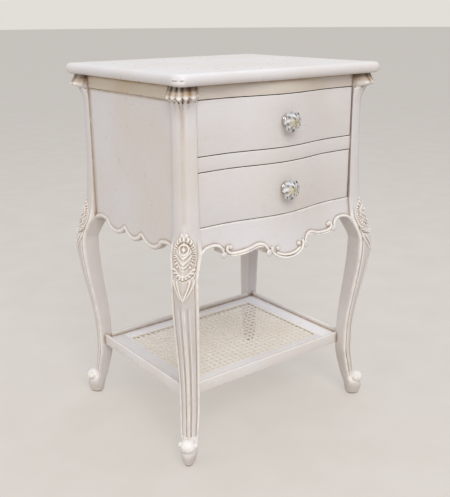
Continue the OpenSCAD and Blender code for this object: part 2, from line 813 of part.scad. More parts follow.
top();
leg(-1, -1);  // leg_front_left
leg(1, -1);  // leg_front_right
leg(-1, 1);  // leg_back_left
leg(1, 1);  // leg_back_right
front_top_rail();
divider_rail();
front_apron();
side_panel(-1);  // side_panel_left
side_panel(1);  // side_panel_right
side_top_rail(-1);  // side_top_rail_left
side_top_rail(1);  // side_top_rail_right
back_panel();
back_rail();
kicker(-1);  // kicker_left
kicker(1);  // kicker_right
runner(-1, upper_bottom);  // upper_runner_left
runner(1, upper_bottom);  // upper_runner_right
runner(-1, lower_bottom);  // lower_runner_left
runner(1, lower_bottom);  // lower_runner_right
guide(-1, upper_bottom);  // upper_guide_left
guide(1, upper_bottom);  // upper_guide_right
guide(-1, lower_bottom);  // lower_guide_left
guide(1, lower_bottom);  // lower_guide_right
thin_panel(upper_bottom, back_in_y);  // dust_panel
thin_panel(lower_bottom, back_rail_in_y);  // bottom_panel
drawer_stops(upper_bottom);  // upper_drawer_stops
drawer_stops(lower_bottom);  // lower_drawer_stops
corner_blocks();
top_screws();
drawer_front(upper_bottom, upper_top);  // upper_drawer_front
drawer_side(-1, upper_bottom, upper_top);  // upper_drawer_side_left
drawer_side(1, upper_bottom, upper_top);  // upper_drawer_side_right
drawer_back(upper_bottom, upper_top);  // upper_drawer_back
drawer_bottom(upper_bottom);  // upper_drawer_bottom
knob_crystal(upper_knob_z);  // upper_knob_crystal
knob_base(upper_knob_z);  // upper_knob_base
knob_screw(upper_knob_z);  // upper_knob_screw
drawer_front(lower_bottom, lower_top);  // lower_drawer_front
drawer_side(-1, lower_bottom, lower_top);  // lower_drawer_side_left
drawer_side(1, lower_bottom, lower_top);  // lower_drawer_side_right
drawer_back(lower_bottom, lower_top);  // lower_drawer_back
drawer_bottom(lower_bottom);  // lower_drawer_bottom
knob_crystal(lower_knob_z);  // lower_knob_crystal
knob_base(lower_knob_z);  // lower_knob_base
knob_screw(lower_knob_z);  // lower_knob_screw
shelf_rim_end(-1);  // shelf_rim_front
shelf_rim_end(1);  // shelf_rim_back
shelf_rim_side(-1);  // shelf_rim_left
shelf_rim_side(1);  // shelf_rim_right
shelf_board_end(-1);  // shelf_board_front
shelf_board_end(1);  // shelf_board_back
shelf_board_side(-1);  // shelf_board_left
shelf_board_side(1);  // shelf_board_right
cane_panel();
cane_spline();
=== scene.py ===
"""A painted bedside table in the French manner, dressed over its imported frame.

Pieces are modelled in millimetres in the case's own frame, with y = 0 midway
between the posts, and are then carried into the shared frame in metres.
"""
import logging
import math
from collections.abc import Callable, Iterable, Mapping, Sequence
from dataclasses import dataclass, field
from enum import Enum

import bmesh
import bpy
from mathutils import Matrix, Vector
from mathutils.bvhtree import BVHTree


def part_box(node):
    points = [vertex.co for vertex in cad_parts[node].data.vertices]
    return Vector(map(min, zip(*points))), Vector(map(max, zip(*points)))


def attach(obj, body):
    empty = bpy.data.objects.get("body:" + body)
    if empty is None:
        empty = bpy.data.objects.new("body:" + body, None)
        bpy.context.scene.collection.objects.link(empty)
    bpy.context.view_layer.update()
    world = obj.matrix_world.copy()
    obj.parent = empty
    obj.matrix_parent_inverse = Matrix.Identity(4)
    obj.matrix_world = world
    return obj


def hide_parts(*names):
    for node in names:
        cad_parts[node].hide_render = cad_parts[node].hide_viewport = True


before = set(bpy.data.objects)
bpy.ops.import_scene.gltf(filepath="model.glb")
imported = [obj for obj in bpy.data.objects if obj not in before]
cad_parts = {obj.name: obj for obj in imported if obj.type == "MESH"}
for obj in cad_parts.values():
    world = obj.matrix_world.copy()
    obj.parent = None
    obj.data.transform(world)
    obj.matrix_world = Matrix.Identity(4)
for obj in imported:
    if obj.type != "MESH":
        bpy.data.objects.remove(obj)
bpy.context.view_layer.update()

LOG = logging.getLogger("bedside_table")
MM = 0.001
WELD = 0.002
FINE_WELD = 0.001
HALF_PI = math.pi / 2
ROOT2 = math.sqrt(2)
Colour = tuple[float, float, float]
Line = Callable[[float], float]
Table = tuple[tuple[float, ...], ...]


class Body(Enum):
    """The parts of the table that move as one."""

    CASE = "case"
    UPPER = "upper_drawer"
    LOWER = "lower_drawer"


class Slot(Enum):
    """The record's material slots that the modelled pieces take."""

    PAINT = "painted_wood"
    WOOD = "bare_wood"
    CANE = "cane"
    CRYSTAL = "crystal"
    SILVER = "knob_metal"


class Side(Enum):
    """The two sides of the table, seen from the front."""

    LEFT = -1
    RIGHT = 1

    @property
    def word(self) -> str:
        """The side's name in the pieces' names."""
        return self.name.lower()


# Curves


def ease(t: float) -> float:
    """Rise from 0 to 1 with level ends."""
    u = min(1.0, max(0.0, t))
    return u * u * (3 - 2 * u)


def ramp(value: float, start: float, length: float) -> float:
    """Rise from 0 at a start to 1 at a length past it. With a negative length it falls."""
    return ease((value - start) / length)


def hump(t: float) -> float:
    """A round hump that is 1 at t = 0 and 0 from t = -1 and 1 outwards."""
    return max(0.0, 1 - t * t) ** 2


def arc_fall(d: float, radius: float) -> float:
    """Height of a round arc over its ends, at distance d from its middle."""
    return radius - math.sqrt(max(0.0, radius * radius - d * d))


def arc_radius(half: float, depth: float) -> float:
    """Radius of the arc with a given half width and depth."""
    return (half * half + depth * depth) / (2 * depth)


def signed_power(value: float, power: float) -> float:
    """Raise a value to a power and keep its sign."""
    return math.copysign(abs(value) ** power, value)


def through(rows: Sequence[Sequence[float]], z: float, column: int) -> float:
    """Read one column of the stations at a height, on a curve that doesn't overshoot.

    Args:
        rows: Stations, each one a height and its values.
        z: Height to read at.
        column: Which value of the stations to read.

    Returns:
        The value there.
    """
    k = max(0, min(len(rows) - 2, sum(1 for row in rows if row[0] <= z) - 1))

    def slope(i: int) -> float:
        """Slope of the span that starts at station i."""
        return (rows[i + 1][column] - rows[i][column]) / (rows[i + 1][0] - rows[i][0])

    def level(i: int) -> float:
        """Slope of the curve at station i, which is level at its ends and where it turns."""
        if i == 0 or i == len(rows) - 1 or slope(i - 1) * slope(i) <= 0:
            return 0.0
        return 2 * slope(i - 1) * slope(i) / (slope(i - 1) + slope(i))

    h = rows[k + 1][0] - rows[k][0]
    u = min(1.0, max(0.0, (z - rows[k][0]) / h))
    w = 1 - u
    return (rows[k][column] * (1 + 2 * u) * w * w + level(k) * h * u * w * w
            + rows[k + 1][column] * u * u * (3 - 2 * u) - level(k + 1) * h * u * u * w)


def smooth_path(points: Sequence[tuple[float, float]], steps: int) -> list[tuple[float, float]]:
    """Run a smooth curve through points in a plane.

    Args:
        points: The points that the curve passes.
        steps: How many pieces the curve has between two points.

    Returns:
        The curve's own points, ends included.
    """
    ends = [points[0], *points, points[-1]]
    curve = []
    for k in range(len(points) - 1):
        a, b, c, d = ends[k:k + 4]
        for i in range(steps):
            t = i / steps
            curve.append(tuple(
                0.5 * (2 * b[n] + (c[n] - a[n]) * t + (2 * a[n] - 5 * b[n] + 4 * c[n] - d[n]) * t * t
                       + (3 * b[n] - a[n] - 3 * c[n] + d[n]) * t ** 3) for n in (0, 1)))
    curve.append(points[-1])
    return curve


# Meshes


def lay_grid(bm: bmesh.types.BMesh, across: int, along: int,
             place: Callable[[float, float], Vector]) -> None:
    """Lay a grid, carry its points to their places on a surface, and close its seams.

    Args:
        bm: Mesh that the grid goes into.
        across: Faces across the grid.
        along: Faces along the grid.
        place: Gives the place of a point from its u and v, each from 0 to 1.
    """
    verts = bmesh.ops.create_grid(bm, x_segments=across, y_segments=along, size=0.5)["verts"]
    for vert in verts:
        vert.co = place(vert.co.x + 0.5, vert.co.y + 0.5)
    bmesh.ops.remove_doubles(bm, verts=verts, dist=WELD)


def cap_holes(bm: bmesh.types.BMesh) -> None:
    """Close every open end of a mesh with one face."""
    rims = [edge for edge in bm.edges if edge.is_boundary]
    bmesh.ops.holes_fill(bm, edges=rims, sides=0)


def add_tube(bm: bmesh.types.BMesh, path: Sequence[Vector], out: Vector, half: float, rise: float,
             share: Line, sides: int) -> None:
    """Run a rolled bead along a path.

    Args:
        bm: Mesh that the bead goes into.
        path: Points along the middle of the bead.
        out: Direction in which the bead stands out.
        half: Half width of the bead.
        rise: How far the bead stands out from its path.
        share: How much of its full size the bead has, at a share of its length.
        sides: Faces round the bead.
    """
    steps = len(path) - 1

    def place(u: float, v: float) -> Vector:
        """Place a point at u round the bead and v along it."""
        k = round(v * steps)
        run = (path[min(k + 1, steps)] - path[max(k - 1, 0)]).normalized()
        across = run.cross(out).normalized()
        angle = math.tau * u
        return path[k] + share(v) * (across * half * math.cos(angle) + out * rise * math.sin(angle))

    lay_grid(bm, sides, steps, place)


def add_ball(bm: bmesh.types.BMesh, centre: Vector, radii: Vector, turn: Matrix | None = None,
             segments: int = 20) -> None:
    """Add a rounded lobe, with its own radius along each of three directions.

    Args:
        bm: Mesh that the lobe goes into.
        centre: Its middle.
        radii: Its radii.
        turn: How its three directions are turned, if they are.
        segments: Faces round it.
    """
    shape = Matrix.Translation(centre) @ (turn or Matrix.Identity(4)) @ Matrix.Diagonal((*radii, 1))
    bmesh.ops.create_uvsphere(bm, u_segments=segments, v_segments=segments * 2 // 3, radius=1,
                              matrix=shape)


def add_box(bm: bmesh.types.BMesh, low: Vector, high: Vector) -> None:
    """Add a plain board.

    Args:
        bm: Mesh that the board goes into.
        low: Its low corner.
        high: Its high corner.
    """
    size = high - low
    matrix = Matrix.Translation((low + high) / 2) @ Matrix.Diagonal((*size, 1))
    bmesh.ops.create_cube(bm, size=1, matrix=matrix)


def add_prism(bm: bmesh.types.BMesh, outline: Sequence[Vector], run: Vector) -> None:
    """Draw an outline as one face and pull it out along a run.

    Args:
        bm: Mesh that the prism goes into.
        outline: The corners of its end.
        run: The way from one end to the other.
    """
    face = bm.faces.new([bm.verts.new(point) for point in outline])
    pulled = bmesh.ops.extrude_face_region(bm, geom=[face], use_keep_orig=True)["geom"]
    bmesh.ops.translate(bm, vec=run, verts=[g for g in pulled if isinstance(g, bmesh.types.BMVert)])


def soften(bm: bmesh.types.BMesh, width: float, segments: int = 3, sharp: float = 25.0) -> None:
    """Round a mesh's sharp edges, and mark the middle of each rounding for whitening, as wear and painted
    highlight.

    Args:
        bm: Mesh to soften.
        width: Width of the rounding.
        segments: Faces across the rounding.
        sharp: Angle in degrees from which an edge is rounded.
    """
    bmesh.ops.remove_doubles(bm, verts=bm.verts, dist=WELD)
    bmesh.ops.recalc_face_normals(bm, faces=bm.faces)
    rub = bm.verts.layers.float.get("rub") or bm.verts.layers.float.new("rub")
    edges = [edge for edge in bm.edges if edge.calc_face_angle(0) > math.radians(sharp)]
    made = bmesh.ops.bevel(bm, geom=edges, offset=width, segments=segments, profile=0.5,
                           affect="EDGES", material=-1, clamp_overlap=True)
    faces = set(made["faces"])
    for vert in made["verts"]:
        if all(face in faces for face in vert.link_faces):
            vert[rub] = 1.0


def shade_ridges(bm: bmesh.types.BMesh, plain: float, sharp: float) -> None:
    """Mark the ridges of a carving, where the paint is whitened as rubbed wear and painted highlight.

    Args:
        bm: Carved mesh.
        plain: Curvature, in 1/mm, up to which nothing is whitened.
        sharp: Curvature from which a ridge is whitened fully.
    """
    rub = bm.verts.layers.float.get("rub") or bm.verts.layers.float.new("rub")
    least_squared = 0.04
    for vert in bm.verts:
        bends = [0.0]
        for edge in vert.link_edges:
            run = vert.co - edge.other_vert(vert).co
            bends.append(2 * run.dot(vert.normal) / max(run.length_squared, least_squared))
        vert[rub] = max(vert[rub], ramp(max(bends), plain, sharp - plain))


def shade_hollows(bm: bmesh.types.BMesh, reach: float, strength: float) -> None:
    """Mark how deep each point of a carving lies in its hollows.

    Rays are sent out from each point, and the nearer they meet the carving again, the
    more glaze has settled there.

    Args:
        bm: Carved mesh.
        reach: Length of the rays.
        strength: How strongly the hollows are marked.
    """
    rays = 14
    clear = 0.08
    golden = math.pi * (3 - math.sqrt(5))
    bm.normal_update()
    tree = BVHTree.FromBMesh(bm)
    glaze = bm.verts.layers.float.new("glaze")
    cone = []
    for k in range(rays):
        lift = (k + 0.5) / rays
        flat = math.sqrt(1 - lift * lift)
        cone.append(Vector((flat * math.cos(k * golden), flat * math.sin(k * golden), lift)))
    for vert in bm.verts:
        turned = vert.normal.to_track_quat("Z", "Y")
        start = vert.co + vert.normal * clear
        hidden = 0.0
        for ray in cone:
            distance = tree.ray_cast(start, turned @ ray, reach)[3]
            if distance is not None:
                hidden += 1 - distance / reach
        vert[glaze] = min(1.0, strength * hidden / rays)
    shade_ridges(bm, plain=0.1, sharp=0.42)


# Sizes


@dataclass(frozen=True)
class CaseSizes:
    """Planes and heights of the case in millimetres, read from the frame."""

    front_bow: float = 17.0
    front_bow_half: float = 135.0
    post_w: float = 30.0
    side_rail_out: float = 2.0
    foot_out: float = 5.5

    def node_box(self, node: str) -> tuple[Vector, Vector]:
        """Give a node's corners in the case's own millimetres.

        Args:
            node: The node's name.

        Returns:
            Its low and its high corner.
        """
        low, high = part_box(node)
        shift = Vector((0, self.shift_y, 0))
        return low / MM - shift, high / MM - shift

    @property
    def shift_y(self) -> float:
        """How far the case's middle lies from the frame's."""
        return (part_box("leg_front_left")[0].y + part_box("leg_back_left")[1].y) / 2 / MM

    @property
    def to_frame(self) -> Matrix:
        """The transform from the case's millimetres to the frame's metres."""
        return Matrix.Scale(MM, 4) @ Matrix.Translation((0, self.shift_y, 0))


@dataclass(frozen=True)
class Case:
    """The case's planes and heights, worked out once."""

    inner_x: float
    inner_y: float
    front_y: float
    rail_back_y: float
    panel_x: float
    panel_in_x: float
    case_top: float
    upper_top: float
    lower_top: float
    lower_bottom: float
    bow: float
    bow_half: float
    post_w: float
    foot_out: float

    @classmethod
    def measured(cls, sizes: CaseSizes) -> "Case":
        """Read the case's planes from the nodes that lie in them.

        Args:
            sizes: The sizes that no node shows, and the way to the nodes' boxes.

        Returns:
            The case.
        """
        rail = sizes.node_box("front_top_rail")
        side = sizes.node_box("side_top_rail_right")
        return cls(
            inner_x=rail[1].x, inner_y=side[1].y,
            front_y=rail[0].y + sizes.front_bow, rail_back_y=rail[1].y,
            panel_x=side[1].x - sizes.side_rail_out, panel_in_x=side[0].x,
            case_top=rail[1].z, upper_top=rail[0].z,
            lower_top=sizes.node_box("divider_rail")[0].z, lower_bottom=sizes.node_box("back_panel")[0].z,
            bow=sizes.front_bow, bow_half=sizes.front_bow_half,
            post_w=sizes.post_w, foot_out=sizes.foot_out)

    def swell(self, x: float) -> float:
        """How far the front stands out at x, from 0 at its ends to 1 at its middle."""
        return math.cos(HALF_PI * x / self.bow_half) ** 2 if abs(x) < self.bow_half else 0.0

    def front_line(self, x: float) -> float:
        """The serpentine front at x."""
        return self.front_y - self.bow * self.swell(x)


# Finishes


def srgb(red: int, green: int, blue: int) -> Colour:
    """Turn a colour as a screen shows it into the renderer's own values."""
    return tuple(c / 12.92 if c <= 0.04045 else ((c + 0.055) / 1.055) ** 2.4
                 for c in (red / 255, green / 255, blue / 255))


@dataclass
class Wiring:
    """A node tree and short ways to add to it."""

    tree: bpy.types.NodeTree

    def add(self, kind: str, inputs: Mapping[str | int, object] | None = None,
            **settings: object) -> bpy.types.Node:
        """Add a node, set its own settings, and set or link its inputs.

        Args:
            kind: The node's type.
            inputs: For each input a value, or a socket to link it to.
            **settings: The node's own settings.

        Returns:
            The node.
        """
        node = self.tree.nodes.new(kind)
        for key, value in settings.items():
            setattr(node, key, value)
        for key, value in (inputs or {}).items():
            if isinstance(value, bpy.types.NodeSocket):
                self.tree.links.new(value, node.inputs[key])
            elif isinstance(value, tuple) and len(value) == 3 and node.inputs[key].type == "RGBA":
                node.inputs[key].default_value = (*value, 1.0)
            else:
                node.inputs[key].default_value = value
        return node

    def math(self, operation: str, a: object, b: object = 0.0, clamp: bool = False) -> bpy.types.NodeSocket:
        """Add one sum and return its result."""
        return self.add("ShaderNodeMath", {0: a, 1: b}, operation=operation, use_clamp=clamp).outputs[0]

    def mix(self, share: object, a: object, b: object, blend: str = "MIX") -> bpy.types.NodeSocket:
        """Mix two colours and return the result."""
        return self.add("ShaderNodeMix", {0: share, 6: a, 7: b}, data_type="RGBA",
                        blend_type=blend).outputs[2]

    def grey(self, value: object) -> bpy.types.NodeSocket:
        """Make a grey of a value."""
        return self.add("ShaderNodeCombineColor", {0: value, 1: value, 2: value}).outputs[0]

    def spread(self, value: object, low: float, high: float, to_low: float = 0.0,
               to_high: float = 1.0) -> bpy.types.NodeSocket:
        """Spread a range of values over another range."""
        return self.add("ShaderNodeMapRange", {0: value, 1: low, 2: high, 3: to_low, 4: to_high},
                        interpolation_type="SMOOTHSTEP").outputs[0]

    def noise(self, vector: object, scale: float, detail: float = 3.0) -> bpy.types.NodeSocket:
        """Add soft noise and return its value."""
        return self.add("ShaderNodeTexNoise", {"Vector": vector, "Scale": scale, "Detail": detail},
                        noise_dimensions="3D").outputs[0]

    def stretched(self, vector: object, scale: object) -> bpy.types.NodeSocket:
        """Stretch coordinates by a scale along each axis."""
        return self.add("ShaderNodeVectorMath", {0: vector, 1: scale}, operation="MULTIPLY").outputs[0]

    def place(self) -> bpy.types.NodeSocket:
        """The piece's own coordinates in metres."""
        return self.add("ShaderNodeTexCoord").outputs["Object"]

    def marked(self, name: str) -> bpy.types.NodeSocket:
        """A value that is marked on the mesh."""
        return self.add("ShaderNodeAttribute", attribute_name=name).outputs["Fac"]


class EffectGroup:
    """A node group that several materials share."""

    name = "effect"
    takes: Mapping[str, tuple[str, object]] = {}
    gives: Mapping[str, str] = {}

    def __init__(self) -> None:
        """Make the group with its sockets, and wire it."""
        self.tree = bpy.data.node_groups.new(self.name, "ShaderNodeTree")
        for name, (kind, value) in self.takes.items():
            socket = self.tree.interface.new_socket(name, in_out="INPUT", socket_type=kind)
            socket.default_value = value
        for name, kind in self.gives.items():
            self.tree.interface.new_socket(name, in_out="OUTPUT", socket_type=kind)
        wiring = Wiring(self.tree)
        source = wiring.add("NodeGroupInput")
        results = self.wire(wiring, {name: source.outputs[name] for name in self.takes})
        wiring.add("NodeGroupOutput", results)

    def wire(self, w: Wiring, given: Mapping[str, bpy.types.NodeSocket]) -> dict[str, bpy.types.NodeSocket]:
        """Wire the group from what it is given to what it gives.

        Args:
            w: The group's node tree.
            given: The sockets of what the group takes.

        Returns:
            The sockets for what it gives.
        """
        raise NotImplementedError


COLOUR = "NodeSocketColor"
FLOAT = "NodeSocketFloat"
VECTOR = "NodeSocketVector"


class AntiquePaint(EffectGroup):
    """Hand-brushed cream paint, with ochre glaze left in hollows and corners, painted shade in the deepest
    crevices, and painted highlight on rubbed edges and ridges.
    """

    name = "antique_paint"
    takes = {
        "Paint": (COLOUR, (0.8, 0.76, 0.68, 1)),
        "Warm Paint": (COLOUR, (0.8, 0.72, 0.6, 1)),
        "Glaze": (COLOUR, (0.4, 0.28, 0.14, 1)),
        "Rubbed And Highlight": (COLOUR, (0.8, 0.7, 0.5, 1)),
        "Chips And Shade": (COLOUR, (0.05, 0.035, 0.02, 1)),
        "Brush": (VECTOR, (300, 300, 30)),
        "Hollow Glaze": (FLOAT, 1.0),
        "Corner Glaze": (FLOAT, 1.0),
    }
    gives = {"Color": COLOUR, "Roughness": FLOAT, "Height": FLOAT}

    def wire(self, w: Wiring, given: Mapping[str, bpy.types.NodeSocket]) -> dict[str, bpy.types.NodeSocket]:
        """Lay the paint, its brush marks, its glaze, painted shade in deep crevices and along marked lines,
        and its rubbed edges with their painted highlight.

        Args:
            w: The group's node tree.
            given: The sockets of what the group takes.

        Returns:
            The sockets for what it gives.
        """
        place = w.place()
        cloud = w.noise(place, 7.0, 4.0)
        patch = w.noise(place, 60.0, 4.0)
        marks = w.noise(w.stretched(place, given["Brush"]), 1.0, 2.0)
        paint = w.mix(w.spread(cloud, 0.35, 0.7), given["Paint"], given["Warm Paint"])
        tone = w.math("ADD", w.math("MULTIPLY", marks, 0.06), 0.97)
        paint = w.mix(1.0, paint, w.grey(tone), "MULTIPLY")
        hollow = w.math("MULTIPLY", w.marked("glaze"), given["Hollow Glaze"], clamp=True)
        shut_in = w.add("ShaderNodeAmbientOcclusion", {"Distance": 0.011}, samples=8).outputs["AO"]
        corner = w.math("MULTIPLY", w.spread(shut_in, 0.88, 0.42), given["Corner Glaze"])
        settled = w.math("MAXIMUM", hollow, corner)
        settled = w.math("MULTIPLY", settled, w.spread(patch, 0.2, 0.65, 0.6, 1.0), clamp=True)
        colour = w.mix(settled, paint, given["Glaze"])
        # Painted shade: where the occlusion is deepest, the paint goes towards near black.
        crevice_shade = w.math("MULTIPLY", w.spread(shut_in, 0.34, 0.08),
                      w.math("MINIMUM", given["Corner Glaze"], 0.8))
        # Marked chips and painted shadow lines go towards the same near black.
        colour = w.mix(w.math("MAXIMUM", crevice_shade, w.marked("chip")), colour, given["Chips And Shade"])
        # Rubbed edges and ridges are whitened, partly as wear and partly as painted highlight.
        rub = w.math("MULTIPLY", w.marked("rub"), w.spread(patch, 0.3, 0.6, 0.35, 0.9), clamp=True)
        colour = w.mix(rub, colour, given["Rubbed And Highlight"])
        rough = w.math("ADD", w.math("MULTIPLY", patch, 0.16), w.math("MULTIPLY", settled, 0.25))
        return {"Color": colour, "Roughness": w.math("ADD", rough, 0.22), "Height": marks}


class WoodGrain(EffectGroup):
    """Straight-grained bare wood, with rays of darker late wood."""

    name = "wood_grain"
    takes = {
        "Light": (COLOUR, (0.6, 0.42, 0.25, 1)),
        "Dark": (COLOUR, (0.35, 0.2, 0.1, 1)),
        "Grain": (VECTOR, (90, 9, 90)),
    }
    gives = {"Color": COLOUR, "Roughness": FLOAT, "Height": FLOAT}

    def wire(self, w: Wiring, given: Mapping[str, bpy.types.NodeSocket]) -> dict[str, bpy.types.NodeSocket]:
        """Lay broad bands and fine fibres along the grain.

        Args:
            w: The group's node tree.
            given: The sockets of what the group takes.

        Returns:
            The sockets for what it gives.
        """
        run = w.stretched(w.place(), given["Grain"])
        band = w.noise(run, 0.35, 2.0)
        rings = w.math("FRACT", w.math("MULTIPLY", band, 7.0))
        rings = w.math("PINGPONG", rings, 0.5)
        fibre = w.noise(run, 5.0, 4.0)
        tone = w.math("ADD", w.math("MULTIPLY", rings, 0.9), w.math("MULTIPLY", fibre, 0.5))
        colour = w.mix(w.spread(tone, 0.2, 0.9), given["Light"], given["Dark"])
        rough = w.math("ADD", w.math("MULTIPLY", fibre, 0.2), 0.5)
        return {"Color": colour, "Roughness": rough, "Height": fibre}


class Tarnish(EffectGroup):
    """Uneven polish with a dull film spread by noise."""

    name = "tarnish"
    takes = {
        "Bright": (COLOUR, (0.8, 0.8, 0.78, 1)),
        "Dull": (COLOUR, (0.35, 0.33, 0.3, 1)),
        "Roughness Low": (FLOAT, 0.12),
        "Roughness High": (FLOAT, 0.35),
    }
    gives = {"Color": COLOUR, "Roughness": FLOAT, "Height": FLOAT}

    def wire(self, w: Wiring, given: Mapping[str, bpy.types.NodeSocket]) -> dict[str, bpy.types.NodeSocket]:
        """Spread the film by noise, and roughen the metal with it.

        Args:
            w: The group's node tree.
            given: The sockets of what the group takes.

        Returns:
            The sockets for what it gives.
        """
        place = w.place()
        film = w.spread(w.noise(place, 260.0, 4.0), 0.42, 0.72)
        fine = w.noise(place, 1500.0, 2.0)
        span = w.math("SUBTRACT", given["Roughness High"], given["Roughness Low"])
        rough = w.math("ADD", w.math("MULTIPLY", span, film), given["Roughness Low"])
        return {"Color": w.mix(film, given["Bright"], given["Dull"]), "Roughness": rough, "Height": fine}


class CutGlass(EffectGroup):
    """Cut crystal, with painted light and shade on its facets and a painted warm glow of the base in its
    middle.
    """

    name = "cut_glass"
    takes = {
        "Clear": (COLOUR, (1, 1, 1, 1)),
        "Shade": (COLOUR, (0.3, 0.3, 0.3, 1)),
        "Heart": (COLOUR, (0.8, 0.75, 0.5, 1)),
    }
    gives = {"Color": COLOUR, "Roughness": FLOAT, "Height": FLOAT}

    def wire(self, w: Wiring, given: Mapping[str, bpy.types.NodeSocket]) -> dict[str, bpy.types.NodeSocket]:
        """Paint light and shade on the facets as they are marked, and a painted warm glow on the ones in the
        middle.

        Args:
            w: The group's node tree.
            given: The sockets of what the group takes.

        Returns:
            The sockets for what it gives.
        """
        fine = w.noise(w.place(), 700.0, 2.0)
        shade = w.mix(w.marked("facet"), given["Clear"], given["Shade"])
        colour = w.mix(w.marked("heart"), shade, w.mix(w.marked("facet"), given["Heart"], given["Shade"]))
        return {"Color": colour, "Roughness": w.math("ADD", w.math("MULTIPLY", fine, 0.05), 0.01),
                "Height": fine}


@dataclass(frozen=True)
class Finish:
    """A finish: its name, its effect, the effect's values and the shader's own constants."""

    name: str
    effect: type[EffectGroup]
    values: Mapping[str, object]
    constants: Mapping[str, object]
    bump: float
    depth: float

    def made(self, groups: dict[type[EffectGroup], EffectGroup]) -> bpy.types.Material:
        """Make the finish's material.

        Args:
            groups: The effects' groups made so far, which the materials share.

        Returns:
            The material.
        """
        material = bpy.data.materials.new(self.name)
        material.use_nodes = True
        material.node_tree.nodes.clear()
        if self.effect not in groups:
            groups[self.effect] = self.effect()
        w = Wiring(material.node_tree)
        group = w.add("ShaderNodeGroup", node_tree=groups[self.effect].tree)
        for key, value in self.values.items():
            group.inputs[key].default_value = (*value, 1.0) if group.inputs[key].type == "RGBA" else value
        bump = w.add("ShaderNodeBump", {"Strength": self.bump, "Distance": self.depth,
                                        "Height": group.outputs["Height"]})
        surface = w.add("ShaderNodeBsdfPrincipled", {
            "Base Color": group.outputs["Color"], "Roughness": group.outputs["Roughness"],
            "Normal": bump.outputs[0], **self.constants})
        w.add("ShaderNodeOutputMaterial", {"Surface": surface.outputs[0]})
        return material


CREAM = srgb(219, 216, 216)
WARM_CREAM = srgb(216, 210, 204)
# Lighter copies of the cream, as painted light on the shelf's rims and boards.
RIM_LIT = srgb(229, 226, 225)
WARM_RIM_LIT = srgb(225, 219, 211)
SHELF_LIT = srgb(242, 242, 245)
WARM_SHELF_LIT = srgb(237, 234, 230)
OCHRE = srgb(150, 116, 66)
# The whitening of edges and ridges: partly rubbed wear, partly painted highlight.
RUBBED_AND_HIGHLIGHT = srgb(246, 243, 237)
PINE = srgb(205, 172, 122)
PINE_DARK = srgb(160, 120, 76)


def paint(name: str, brush: tuple[float, float, float], hollow: float = 1.0,
          corner: float = 0.8, main: Colour = CREAM, warm: Colour = WARM_CREAM) -> Finish:
    """Describe the antique paint.

    Args:
        name: The finish's name.
        brush: Scale of the brush marks, least along the brush.
        hollow: How much glaze is left in the carving's hollows.
        corner: How much glaze is left in corners between pieces.
        main: Colour of most of the paint.
        warm: Colour of its yellowed patches.

    Returns:
        The finish.
    """
    return Finish(name, AntiquePaint,
                  {"Paint": main, "Warm Paint": warm, "Glaze": OCHRE, "Rubbed And Highlight": RUBBED_AND_HIGHLIGHT,
                   "Brush": brush, "Hollow Glaze": hollow, "Corner Glaze": corner},
                  {"IOR": 1.38}, bump=0.3, depth=0.0002)


def wood(name: str, grain: tuple[float, float, float]) -> Finish:
    """Describe bare pine with its grain along one axis."""
    return Finish(name, WoodGrain, {"Light": PINE, "Dark": PINE_DARK, "Grain": grain},
                  {"IOR": 1.5}, bump=0.25, depth=0.0002)


ALONG_X = (25.0, 300.0, 300.0)
ALONG_Y = (300.0, 25.0, 300.0)
ALONG_Z = (300.0, 300.0, 25.0)
FINISHES = {
    "paint_x": paint("paint_brushed_across", ALONG_X),
    "paint_y": paint("paint_brushed_back", ALONG_Y),
    "paint_z": paint("paint_brushed_up", ALONG_Z),
    # Darker, warmer copies of the cream paint, as painted shade on the rails under the top.
    "paint_rail": paint("paint_shaded_under_top", ALONG_Y, corner=1.0, main=srgb(205, 194, 178),
                        warm=srgb(194, 177, 150)),
    "paint_front_rail": paint("paint_shaded_under_top_front", ALONG_X, main=srgb(214, 206, 197),
                              warm=srgb(208, 196, 178)),
    # The shelf's rims and boards take the lighter copies, as painted light.
    "rim_x": paint("paint_rim_lit_across", ALONG_X, main=RIM_LIT, warm=WARM_RIM_LIT),
    "rim_y": paint("paint_rim_lit_back", ALONG_Y, main=RIM_LIT, warm=WARM_RIM_LIT),
    "shelf_x": paint("paint_shelf_lit_across", ALONG_X, main=SHELF_LIT, warm=WARM_SHELF_LIT),
    "shelf_y": paint("paint_shelf_lit_back", ALONG_Y, main=SHELF_LIT, warm=WARM_SHELF_LIT),
    "wood_x": wood("pine_across", (9.0, 90.0, 90.0)),
    "wood_y": wood("pine_back", (90.0, 9.0, 90.0)),
    # The cane's paint is lighter than the case's cream, as painted light on the shaded sheet under the case.
    "cane": Finish("painted_cane", AntiquePaint,
                   {"Paint": srgb(246, 241, 231), "Warm Paint": srgb(238, 229, 212), "Glaze": OCHRE,
                    "Rubbed And Highlight": RUBBED_AND_HIGHLIGHT, "Brush": (200.0, 200.0, 200.0), "Hollow Glaze": 0.0,
                    "Corner Glaze": 0.3},
                   {"Coat Weight": 0.15, "Coat Roughness": 0.3}, bump=0.3, depth=0.0002),
    "crystal": Finish("cut_crystal", CutGlass,
                      {"Clear": srgb(253, 254, 255), "Shade": srgb(104, 102, 98),
                       "Heart": srgb(240, 230, 200)},
                      {"Transmission Weight": 0.35, "IOR": 1.5}, bump=0.02, depth=0.00002),
    "silver": Finish("bright_chrome", Tarnish,
                     {"Bright": srgb(228, 230, 234), "Dull": srgb(170, 169, 166),
                      "Roughness Low": 0.1, "Roughness High": 0.3},
                     {"Metallic": 1.0}, bump=0.1, depth=0.00005),
    "steel": Finish("screw_steel", Tarnish,
                    {"Bright": srgb(190, 190, 188), "Dull": srgb(120, 114, 104),
                     "Roughness Low": 0.3, "Roughness High": 0.55},
                    {"Metallic": 1.0}, bump=0.2, depth=0.00005),
}


